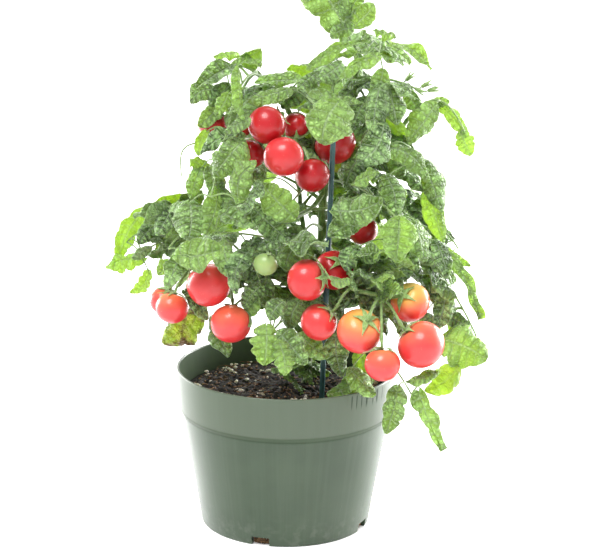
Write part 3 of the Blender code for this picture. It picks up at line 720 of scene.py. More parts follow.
FRUIT_CENTRES = np.array([row[1] for row in TOMATOES])
FRUIT_RADII = np.array([row[2] for row in TOMATOES])
FRUIT_FLATNESS = 0.94
LOBE_DEPTH = 0.012
DIMPLE_DEPTH = 0.16
SCAR_DEPTH = 0.035


def tomato_skin(name, coat):
    """Waxy skin whose colour follows the ripeness held in its tone, with faint flecks and streaks."""
    finish, place = new_finish(name)
    ripe, shoulder, streak = place.add("Attribute", {}, attribute_name="tone").split("Color")
    mottle = place.noise(70, 3)
    ripeness = ripe + (mottle - 0.5) * 0.14 - shoulder * 0.25
    stages = (
        (0.0, (0.27, 0.38, 0.13)), (0.20, (0.66, 0.58, 0.16)), (0.36, (0.86, 0.40, 0.09)),
        (0.54, (0.87, 0.17, 0.08)), (0.74, (0.74, 0.055, 0.055)), (1.0, (0.42, 0.005, 0.010)),
    )
    colour = ripeness.add("ValToRGB", {0: ripeness}, stops=stages)
    flecks = place.cells(620).rise(0.16, 0.06) * place.noise(200).rise(0.5, 0.65)
    colour = (flecks * 0.30).mixed(colour, (0.95, 0.55, 0.32))
    colour = (streak * 0.35).mixed(colour, (0.70, 0.62, 0.30))
    bloom = place.noise(160, 4)
    dress(
        finish, colour, bloom * 0.12 + 0.30, bloom, 0.00015, 0.4,
        Specular_IOR_Level=0.30, Coat_Weight=coat, Coat_Roughness=0.15,
        Subsurface_Weight=0.12, Subsurface_Radius=(0.010, 0.003, 0.002), Subsurface_Scale=0.5,
    )
    return finish


def facing(direction):
    """The rotation that turns +Z to a direction."""
    return np.array(Vector(direction).to_track_quat("Z", "Y").to_matrix())


def tomato(centre, radius, face, ripeness, rng):
    """A tomato: a ball squashed to 0.94, sunk at the calyx, with shallow lobes and a small blossom scar."""
    profile = np.linspace(0, np.pi, 44)
    points, faces = turned(np.stack((np.sin(profile), -np.cos(profile)), -1) * radius, 64)
    x, y, z = points.T
    from_calyx = np.arccos(np.clip(z / radius, -1, 1))
    around = np.arctan2(y, x)
    lobes = 1 + LOBE_DEPTH * np.cos(rng.integers(4, 7) * around + rng.uniform(0, 6)) * np.sin(from_calyx) ** 2
    lobes *= 1 + rng.normal(0, LOBE_DEPTH) * np.cos(2 * around)
    sunk = DIMPLE_DEPTH * radius * np.exp(-((from_calyx / 0.42) ** 2))
    scar = SCAR_DEPTH * radius * np.exp(-(((np.pi - from_calyx) / 0.12) ** 2))
    body = np.stack((x * lobes, y * lobes, z * FRUIT_FLATNESS - sunk + scar), -1)
    shoulder = np.exp(-((from_calyx / 0.95) ** 2)) * (1.2 - ripeness)
    streak = np.exp(-((from_calyx / 0.5) ** 2)) * (0.5 + 0.5 * np.cos(10 * around)) * (1.1 - ripeness)
    body = body @ facing(face).T
    sunk_side = 0.30 * (1 - abs(2 * ripeness - 1)) * (0.25 - body[:, 2] / radius)
    tone = np.stack((ripeness + sunk_side, shoulder, streak), -1)
    return shape_of(body + centre, faces, tone=tone)


skins = {
    "tomato_ripe": tomato_skin("ripe_tomato_skin", 0.35),
    "tomato_turning": tomato_skin("turning_tomato_skin", 0.30),
    "tomato_unripe": tomato_skin("unripe_tomato_skin", 0.25),
}
for number, (_, centre, radius, face, ripeness) in enumerate(TOMATOES, 1):
    stage = "tomato_unripe" if ripeness < 0.2 else "tomato_turning" if ripeness < 0.5 else "tomato_ripe"
    shape = tomato(centre, radius, face, ripeness, chance)
    fruit = piece(f"fruit_{number:02d}", [shape], [skins[stage]])
    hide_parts(f"tomato_{number:02d}")


# ------------------------------------------------------------------ the trusses
# Each truss is a downy green stalk with a bent, knuckled pedicel to every tomato. The pedicel ends
# in a star of five narrow pointed sepals that lie over the fruit's shoulder and lift at their tips.

TRUSSES = {
    "upper": ("main", 0.56, ((0.018, 0.005, 0.287), (0.009, -0.010, 0.290), (-0.003, -0.024, 0.299)),
              (2, 2, 1, 0, 2, 1)),
    "upper_left": ("upper_left", 0.78, ((-0.028, 0.017, 0.322), (-0.036, 0.012, 0.322)), (1, 0)),
    "middle": ("main", 0.48, ((0.016, -0.004, 0.242), (0.000, -0.042, 0.243)), (0, 1)),
    "right": ("lower_right", 0.40, ((0.056, -0.044, 0.207), (0.046, -0.062, 0.199), (0.067, -0.072, 0.196)),
              (0, 1, 1, 2, 2, 2, 2)),
    "left": ("lower_left", 0.60, ((-0.042, -0.028, 0.194), (-0.068, -0.026, 0.203)), (0, 1, 1, 0)),
}
STALK_RADII = (0.0020, 0.0016)
PEDICEL_RADIUS = 0.0012
KNUCKLE_RISE = 0.0055
SEAT_SHARE = 0.80  # of a fruit's radius: where its pedicel meets the dimple
STALK_HAIRS = 420
PEDICEL_HAIRS = 130
SEPAL_LENGTH = 0.0122
SEPAL_BREADTH = 0.0016
SEPAL_THICKNESS = 0.0004
UP = np.array((0.0, 0.0, 1.0))

sepal_skin, place = new_finish("sepal_skin")
specks = place.noise(500, 3)
sepal_green = specks.rise(0.3, 0.7).mixed((0.165, 0.290, 0.060), (0.330, 0.455, 0.170))
dress(sepal_skin, sepal_green, 0.55, specks, 0.0003, 0.7, Sheen_Weight=0.4, Sheen_Roughness=0.4)


def swung(out, side, rise, angle):
    """The points at these distances outwards, sideways and upwards, swung round +Z by an angle."""
    x = out * math.cos(angle) - side * math.sin(angle)
    y = out * math.sin(angle) + side * math.cos(angle)
    return np.stack((x, y, rise), -1)


def calyx(seat, face, centre, radius, rng):
    """Five sepals: each is folded along its middle, hugs the fruit, then lifts and narrows to a point."""
    turn = facing(face)
    shapes = []
    offset = rng.uniform(0, 6.28)
    for number in range(5):
        angle = offset + number * 2 * math.pi / 5 + rng.normal(0, 0.12)
        length = SEPAL_LENGTH * rng.uniform(0.85, 1.12)
        v = np.linspace(0, 1, 13)[:, None]
        u = np.linspace(-1, 1, 5)[None, :]
        belly = 0.75 + 0.6 * np.sin(np.pi * np.minimum(v * 1.5, 1) ** 0.9) + 0.1
        half = SEPAL_BREADTH * belly * (1 - v) ** 0.75 + 0.00008
        out = length * v + 0 * u
        hug = -0.5 * (out / radius) ** 2 * radius * 0.62
        lift = rng.uniform(0.5, 2.6) * 0.001 * v**3
        wave = rng.normal(0, 0.0006) * np.sin(np.pi * v)
        rise = hug + lift + 0.25 * half * np.abs(u) + wave + 0.0004
        side = half * u + rng.normal(0, 0.0007) * v**2
        sepal = swung(out, side, rise, angle)[:, ::-1] @ turn.T + seat
        away = sepal - centre
        far = np.linalg.norm(away, axis=-1, keepdims=True)
        least = radius * (1.0 - 0.14 * np.exp(-((out / radius / 0.30) ** 2)))[..., None] + 0.0003
        sepal = np.where(far < least, centre + away / far * least, sepal)
        shapes.append(shell(sepal, SEPAL_THICKNESS, parts=(1, 1)))
    return shapes


for name, (stem, share, joints, leaves_from) in TRUSSES.items():
    joints = np.array(joints)
    root = off_stem(stem, share, joints[0], -0.001)
    line = smooth_path(np.concatenate(([root], joints)), np.linspace(0, 1, 40))
    radii = np.linspace(*STALK_RADII, 40)
    radii[-3:] *= (0.9, 0.8, 0.6)
    shapes = [tube(line, radii, 12), hairs(line, radii, STALK_HAIRS, chance, part=2)]
    fruits = [row for row in TOMATOES if row[0] == name]
    for (_, centre, radius, face, _), joint in zip(fruits, leaves_from):
        face = np.array(face) / np.linalg.norm(face)
        seat = np.array(centre) + face * (SEAT_SHARE * radius + 0.0003)
        knuckle = seat + face * KNUCKLE_RISE
        bend = (joints[joint], (joints[joint] + knuckle) / 2 + 0.002 * UP, knuckle, seat - face * 0.0004)
        shares = np.linspace(0, 1, 30)
        swell = 1 + 0.55 * np.exp(-((shares - 0.60) / 0.035) ** 2) + 0.7 * np.exp(-((1 - shares) / 0.06) ** 2)
        line = smooth_path(bend, shares)
        radii = PEDICEL_RADIUS * 0.85 * swell
        shapes.append(tube(line, radii, 10))
        shapes.append(hairs(line, radii, PEDICEL_HAIRS, chance, part=2))
        shapes.extend(calyx(seat, face, np.array(centre), radius, chance))
    truss = piece(f"stalk_{name}", shapes, [stalk_skin, sepal_skin, down])
    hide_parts(f"truss_{name}")


# ------------------------------------------------------------------ the leaves
# Compound leaves: a grooved, downy rachis with broad, blunt-toothed leaflets in pairs, a larger
# one at its end and a few tiny ones between. Blades are thin, quilted between sunken veins, paler
# and matt underneath, and let the light through. Old ones low in the plant yellow and brown.

BLADE_THICKNESS = 0.00035
BLADE_SAG = 0.28
TOOTH_DEPTH = 0.08
PILLOW_RISE = 0.038  # this and the next four are shares of a blade's length
WAVE_RISE = 0.034
CRINKLE_RISE = 0.0065
RUFFLE_RISE = 0.065
TWIST = 0.08
RACHIS_RADII = (0.0011, 0.0006)
LEAFLET_SWEEP = math.radians(66)
SIDE_BREADTH = 0.42
END_BREADTH = 0.43
PAIR_STATIONS = {2: (0.42, 0.74), 3: (0.34, 0.56, 0.80)}
TINY_LENGTHS = (0.006, 0.010)
TINY_SHIFT = 0.14  # how far down the rachis the tiny leaflets stand from the pairs
FIRST_SHARE = 0.08  # of a rachis, before which no placed leaflet joins it
RACHIS_POINTS = 90
CURL_ROOM = 1.22  # how much broader a blade is made than it looks once its margins roll down
BACK_YOUTH = 0.25
SUNK_FOOT = 0.0004  # how far a leaf's foot is sunk into its stem


def leaf_tissue(name, shaded_valley, lit_raised, vein, young, relief, see_through, glow):
    """Quilted leaf tissue: midrib, side veins and fine sunken net, its pillows painted pale as highlight."""
    finish, place = new_finish(name)
    youth, yellow, brown = place.add("Attribute", {}, attribute_name="tone").split("Color")
    sideways, forward, _ = place.add("UVMap", {}, uv_map="places").split()
    from_rib = abs(sideways)
    drift = (place.noise(170, 2) - 0.5) * 0.5
    from_vein = abs((forward + drift).math("FRACT") - 0.5)
    net = place.cells(330, feature="DISTANCE_TO_EDGE")
    rib = 1 - from_rib.rise(0.02, 0.10)
    side_vein = (1 - from_vein.rise(0.02, 0.10)) * (1 - from_rib.rise(0.75, 1.0))
    lines = rib.math("MAXIMUM", side_vein * 0.75)
    pillow = net.rise(0.0, 0.30)
    swell = from_vein.rise(0.0, 0.42) * (1 - rib)
    patches = place.noise(75, 4)
    blotch = place.noise(260, 3)
    # Pillows and swells painted pale as highlight, valleys dark as shade; patches add random tone.
    bloom = pillow * 0.28 + swell * 0.32 + patches.rise(0.30, 0.72) * 0.50 + (blotch - 0.5) * 0.30
    colour = bloom.rise(0.26, 0.92).mixed(shaded_valley, lit_raised)
    # Young colour, its pillows painted paler as highlight.
    young_with_highlight = (pillow * 0.5 + patches * 0.5).rise(0.2, 0.8).mixed(young, tuple(1.35 * v for v in young))
    # Youth from the leaflet tables is partly age and partly painted glow, set high on leaflets lit from
    # behind.
    colour = (youth * 0.70).mixed(colour, young_with_highlight)
    colour = (lines * 0.60).mixed(colour, vein)
    # Painted highlight: each leaflet's edge is painted pale, as the light catches it.
    lit_margin = from_rib.rise(0.90, 1.0)
    colour = (lit_margin * 0.5).mixed(colour, vein)
    sick = (yellow + (patches - 0.5) * 0.8).rise(0.35, 0.85)
    colour = (sick * 0.9).mixed(colour, (0.62, 0.52, 0.08))
    dead = (brown + (place.noise(110, 4) - 0.5) * 1.1 + from_rib * 0.25).rise(0.62, 0.85)
    colour = dead.mixed(colour, (0.20, 0.095, 0.045))
    rough = patches * 0.20 + 0.34 + dead * 0.3
    height = pillow * 0.7 + swell * 0.6 - lines * 0.3
    sheen = {"Sheen_Weight": 0.28, "Sheen_Roughness": 0.40, "Sheen_Tint": (0.92, 1.0, 0.86)}
    skin = Flow(dress(finish, colour, rough, height, relief, 1.0, **sheen).outputs[0])
    through = skin.add("BsdfTranslucent", {"Color": glow})
    share = youth * 0.26 + see_through + yellow * 0.15 - lines * 0.10 - dead * 0.3
    both = skin.add("MixShader", {0: share, 1: skin, 2: through})
    feed(finish.node_tree.nodes["Material Output"].inputs["Surface"], both)
    return finish


# Colours of each tissue: painted shade in its valleys, painted highlight on its raised pillows, veins, youth.
leaf_upper = leaf_tissue(
    "leaf_upper", (0.010, 0.050, 0.005), (0.420, 0.670, 0.260), (0.52, 0.68, 0.38), (0.370, 0.570, 0.150),
    0.0022, 0.17, (0.76, 0.98, 0.16))
leaf_under = leaf_tissue(
    "leaf_under", (0.100, 0.200, 0.062), (0.370, 0.550, 0.250), (0.48, 0.62, 0.34), (0.330, 0.520, 0.120),
    0.0011, 0.19, (0.76, 0.98, 0.16))


def unit(vector):
    return np.asarray(vector, float) / np.linalg.norm(vector)


def clear_of_fruit(points, gap=0.0009):
    """Points pushed straight out of any tomato that they would be inside, so that blades rest on fruit."""
    for centre, radius in zip(FRUIT_CENTRES, FRUIT_RADII):
        away = points - centre
        far = np.linalg.norm(away, axis=-1, keepdims=True)
        points = np.where(far < radius + gap, centre + away / (far + 1e-9) * (radius + gap), points)
    return points


def random_waves(u, v, count, scales, rise, rng):
    """The sum of some cosines across a blade, each with its own random height, direction and phase."""
    total = 0
    for _ in range(count):
        k = rng.normal(0, 1, 2) * scales
        total = total + rng.normal(0, rise) * np.cos(k[0] * u + k[1] * v + rng.uniform(0, 6.28))
    return total


def blade(base, direction, face, length, half_breadth, rng, tone, sag=BLADE_SAG, lobes=None, small=False):
    """One leaflet on a grid: an ovate outline with blunt teeth, swept rows that its veins follow, a sag, a
    fold at the midrib, margins that roll down, pillows between the veins and a little random waving."""
    rows, half = (14, 4) if small else (30, 7)
    veins = 3 if small else int(rng.integers(5, 7))
    lobes = rng.uniform(0.04, 0.16) if lobes is None else lobes
    cup = rng.uniform(-0.10, 0.35)
    direction = unit(direction)
    even = np.linspace(0, 1, rows + 1)
    v = (0.55 * even + 0.225 * (1 - np.cos(np.pi * even)))[:, None]  # closer rows at foot and tip
    u = np.linspace(-1, 1, 2 * half + 1)[None, :]
    left = (u < 0) * 1.0
    ovate = v**0.52 * (1 - v) ** 0.92
    ovate = ovate / (0.361**0.52 * 0.639**0.92)  # its greatest value, so that the widest row is 1
    phase = rng.uniform(-0.12, 0.12, 2)
    beat = (veins - 2) * v + 0.15 + left * phase[0] + (1 - left) * phase[1]
    notch = 1 - np.abs(np.sin(np.pi * beat)) ** 0.7
    teeth = 1 - np.abs(np.sin(np.pi * (3 * beat + phase[0]))) ** 0.8
    bites = lobes * (2.6 - 1.7 * v) * notch + TOOTH_DEPTH * teeth
    uneven = 1 + rng.normal(0, 0.08) * np.sign(u)
    for side_mask in (left, 1 - left):
        depth = rng.normal(0, 0.09)
        uneven = uneven + side_mask * depth * np.cos(rng.uniform(6, 15) * v + rng.uniform(0, 6.28))
    width = half_breadth * ovate * (1 - bites) * uneven
    width = width + 0.0004
    centre = base + length * (v[..., None] * direction - sag * v[..., None] ** 2 * UP)
    run = direction - 2 * sag * v[..., None] * UP
    run /= np.linalg.norm(run, axis=-1, keepdims=True)
    side = np.cross(run, face)
    side /= np.linalg.norm(side, axis=-1, keepdims=True)
    out = np.cross(side, run)
    spread = np.abs(u)
    tilt = cup * spread * width - rng.uniform(-0.15, 0.75) * spread**2.6 * width
    mask = (1 - np.exp(-((spread / 0.15) ** 2))) * (1 - spread**5)
    pillow = PILLOW_RISE * length * np.abs(np.cos(np.pi * veins * v)) ** 0.7 * mask * np.sin(np.pi * v) ** 0.5
    waves = random_waves(u, v, 5, (2.4, 7.0), WAVE_RISE, rng)
    crinkle = random_waves(u, v, 8, (11.0, 30.0), CRINKLE_RISE, rng)
    beats = rng.uniform(1.0, 2.4)
    ruffle = RUFFLE_RISE * length * spread**3 * np.sin(2 * np.pi * beats * v + rng.uniform(0, 6.28))
    height = tilt + pillow + length * (waves * spread + crinkle * mask) + ruffle * np.sin(np.pi * v)
    sweep = 0.17 * length * spread * np.sqrt(v * (1 - v)) - 0.08 * length * spread * (1 - v) ** 5
    twist = rng.normal(0, TWIST) * length * np.sin(np.pi * v)
    middle = centre + side * (width * u + twist)[..., None] + out * height[..., None] + run * sweep[..., None]
    middle = clear_of_fruit(middle)
    places = np.stack(np.broadcast_arrays(u, v * veins), -1)
    return shell(middle, BLADE_THICKNESS, places, tone, parts=(0, 1))


def leaf_tone(rng, youth, yellow=0.0, brown=0.0):
    """How young, yellowed and browned a leaflet is, with a little chance in it."""
    return np.clip((youth + rng.normal(0.02, 0.24), yellow + rng.normal(0, 0.05), brown), 0, 1)


def stalked(line_end, base, rng):
    """A short, slightly bowed stalk from the rachis to the foot of a leaflet."""
    middle = (line_end + base) / 2 + rng.normal(0, 0.0004, 3)
    line = smooth_path((line_end, middle, base), np.linspace(0, 1, 7))
    return tube(line, np.linspace(RACHIS_RADII[1] * 0.95, 0.0004, 7), 6, part=2)


def frame_on(rachis, s, tip, roll):
    """A leaf's own directions at a share of its rachis: along it, across it and out of its upper face."""
    lean = unit((tip[0], tip[1], 0)) * 0.5
    run = unit(rachis(min(s + 0.02, 1)) - rachis(max(s - 0.02, 0)))
    across = unit(np.cross(run, UP + lean))
    across = np.array(Matrix.Rotation(math.radians(roll), 3, Vector(run))) @ across
    return run, across, np.cross(across, run)


def arch(start, tip, bow):
    """The arc of a leaf from its foot over a crest to its tip, as a function of share."""
    start, tip = np.array(start), np.array(tip)
    crest = (start + tip) / 2 + 2 * bow * UP

    def rachis(s):
        s = np.asarray(s, float)[..., None]
        return (1 - s) ** 2 * start + 2 * s * (1 - s) * crest + s**2 * tip

    return rachis


def rachis_from(stem, share, tip, bow):
    """The arc of a leaf that grows from a share of a stem's length."""
    return arch(off_stem(stem, share, tip, -SUNK_FOOT), tip, bow)


def rachis_shapes(rachis, end_share, rng):
    """The rachis itself up to a share of its arc, thick at its foot, and the down on it."""
    line = rachis(np.linspace(0, end_share, 30))
    radii = np.linspace(*RACHIS_RADII, 30)
    radii[:3] *= (1.7, 1.4, 1.15)
    count = int(60 + 3500 * np.linalg.norm(line[-1] - line[0]))
    return [tube(line, radii, 9, part=2), hairs(line, radii, count, rng, part=3)]


def full_leaf(rachis, tip, side_length, end_length, pairs, tone, rng, roll=0):
    """The shapes of a leaf whose leaflets stand off its rachis in pairs, with tiny ones between and the
    largest at its end."""
    shares = np.linspace(1, 0.02, 197)
    far_enough = np.linalg.norm(tip - rachis(shares), axis=-1) >= end_length
    end_share = shares[far_enough.argmax()]
    shapes = rachis_shapes(rachis, end_share, rng)
    stations = PAIR_STATIONS[pairs]
    for station in stations:
        s = station * end_share
        run, across, face = frame_on(rachis, s, tip, roll)
        for sign in (-1, 1):
            angle = LEAFLET_SWEEP + rng.normal(0, 0.10)
            direction = math.cos(angle) * run + sign * math.sin(angle) * across
            foot = rachis(s) + direction * side_length * rng.uniform(0.08, 0.16)
            tilted = unit(face + across * rng.normal(0, 0.18) + run * rng.normal(0, 0.22))
            length = side_length * rng.uniform(1.0, 1.16)
            shapes.append(stalked(rachis(s), foot + direction * 0.001, rng))
            looks = leaf_tone(rng, *tone)
            shapes.append(blade(foot, direction, tilted, length, SIDE_BREADTH * length, rng, looks))
    for station in (np.array(stations) - TINY_SHIFT) * end_share:
        run, across, face = frame_on(rachis, station, tip, roll)
        for sign in (-1, 1):
            direction = 0.5 * run + sign * across
            length = rng.uniform(*TINY_LENGTHS)
            foot = rachis(station) + unit(direction) * 0.0018
            shapes.append(stalked(rachis(station), foot, rng))
            looks = leaf_tone(rng, *tone)
            half_breadth = SIDE_BREADTH * length
            shapes.append(blade(foot, direction, face, length, half_breadth, rng, looks, small=True))
    run, across, face = frame_on(rachis, end_share, tip, roll)
    end = tip - rachis(end_share)
    length = np.linalg.norm(end)
    direction = (end + BLADE_SAG * length * UP) / length
    shapes.append(blade(
        rachis(end_share), direction, face, length * 1.04, END_BREADTH * length, rng, leaf_tone(rng, *tone)))
    return shapes


def placed_leaf(rachis, leaflets, rng):
    """The shapes of a leaf whose leaflets each have their own place, joined to its rachis by bowed stalks."""
    line = rachis(np.linspace(FIRST_SHARE, 1, RACHIS_POINTS))
    feet = np.array([row[:3] for row in leaflets]) / 1000
    nearest = np.linalg.norm(line[None] - feet[:, None], axis=-1).argmin(1)
    last_share = FIRST_SHARE + (1 - FIRST_SHARE) * max(nearest.max(), 12) / (RACHIS_POINTS - 1)
    shapes = rachis_shapes(rachis, last_share, rng)
    for row, joint in zip(leaflets, nearest):
        foot, tip = np.array(row[:3]) / 1000, np.array(row[3:6]) / 1000
        half_breadth, looks, sag, lobes, *tone = row[6:]
        span = tip - foot
        length = np.linalg.norm(span)
        gap = foot - line[joint]
        bowed = (line[joint] + foot) / 2 + 0.18 * np.linalg.norm(gap) * UP
        stalk = smooth_path((line[joint], bowed, foot + 0.02 * span), np.linspace(0, 1, 14))
        shapes.append(tube(stalk, np.linspace(RACHIS_RADII[1] * 1.15, 0.00045, 14), 7, part=2))
        direction = (span + sag * length * UP) / length
        face = unit(np.array(FACES[looks]) + rng.normal(0, 0.10, 3))
        half_breadth = CURL_ROOM * half_breadth / 1000
        tone = leaf_tone(rng, *tone)
        shapes.append(blade(foot, direction, face, length, half_breadth, rng, tone, sag, lobes))
    return shapes


# Each leaf: name, the stem and share it grows from, where its tip is, and how far its rachis bows up.
# The leaves at the back add the lengths of their side and end leaflets, and their pairs of side ones.
LEAVES = (
    ("top", "main", 1.00, (0.004, -0.012, 0.410), 0.006),
    ("top_right", "main", 0.96, (0.101, -0.012, 0.346), 0.022),
    ("right_high", "upper_right", 1.00, (0.132, -0.012, 0.292), 0.020),
    ("right_droop", "upper_right", 0.78, (0.108, -0.048, 0.242), 0.014),
    ("right_front", "main", 0.86, (0.064, -0.050, 0.286), 0.018),
    ("heart", "upper_left", 0.74, (0.033, -0.062, 0.300), 0.018),
    ("pale", "main", 0.92, (-0.020, -0.036, 0.338), 0.012),
    ("upper_left", "upper_left", 1.00, (-0.074, 0.004, 0.320), 0.014),
    ("hanging", "upper_left", 0.92, (-0.046, -0.060, 0.304), 0.018),
    ("left_dark", "upper_left", 1.00, (-0.054, -0.054, 0.262), 0.018),
    ("left_high", "main", 0.46, (-0.104, 0.006, 0.246), 0.026),
    ("front_left", "main", 0.32, (-0.052, -0.054, 0.236), 0.004),
    ("front_middle", "main", 0.52, (-0.010, -0.074, 0.240), 0.010),
    ("front_right", "main", 0.52, (0.078, -0.058, 0.248), 0.008),
    ("right_dark", "upper_right", 0.36, (0.102, -0.026, 0.226), 0.008),
    ("right_face", "lower_right", 0.70, (0.084, -0.070, 0.214), 0.022),
    ("far_right", "lower_right", 1.00, (0.141, -0.022, 0.180), 0.015),
    ("low_right", "lower_right", 0.66, (0.146, -0.044, 0.140), 0.026),
    ("over_rim", "main", 0.14, (0.108, -0.092, 0.090), 0.036),
    ("yellow", "lower_left", 0.45, (-0.096, -0.002, 0.146), 0.012),
    ("far_left", "lower_left", 1.00, (-0.134, 0.002, 0.196), 0.014),
    ("left_pale", "lower_left", 0.78, (-0.092, -0.068, 0.210), 0.020),
    ("left_middle", "lower_left", 0.42, (-0.064, -0.076, 0.219), 0.026),
    ("low_left", "lower_left", 0.38, (-0.060, -0.030, 0.140), 0.014),
    ("centre_dark", "main", 0.38, (0.006, -0.060, 0.224), 0.010),
    ("low_front", "main", 0.16, (-0.022, -0.070, 0.142), 0.020),
    ("back_top", "main", 0.80, (0.030, 0.095, 0.300), 0.028, 0.029, 0.038, 2),
    ("back_high", "back", 1.00, (-0.020, 0.125, 0.235), 0.024, 0.029, 0.038, 2),
    ("back_right", "back", 0.60, (0.078, 0.095, 0.190), 0.034, 0.030, 0.038, 3),
    ("back_left", "back", 0.45, (-0.070, 0.088, 0.190), 0.030, 0.030, 0.038, 3),
)

# Which way a leaflet's upper side looks: outwards, upwards, to the left, to the right, or behind it.
FACES = {
    "v": (0.0, -1.0, 0.45), "u": (0.0, -0.55, 1.0), "l": (-0.7, -0.8, 0.5), "r": (0.7, -0.8, 0.5),
    "b": (0.0, 0.9, 0.35),
}
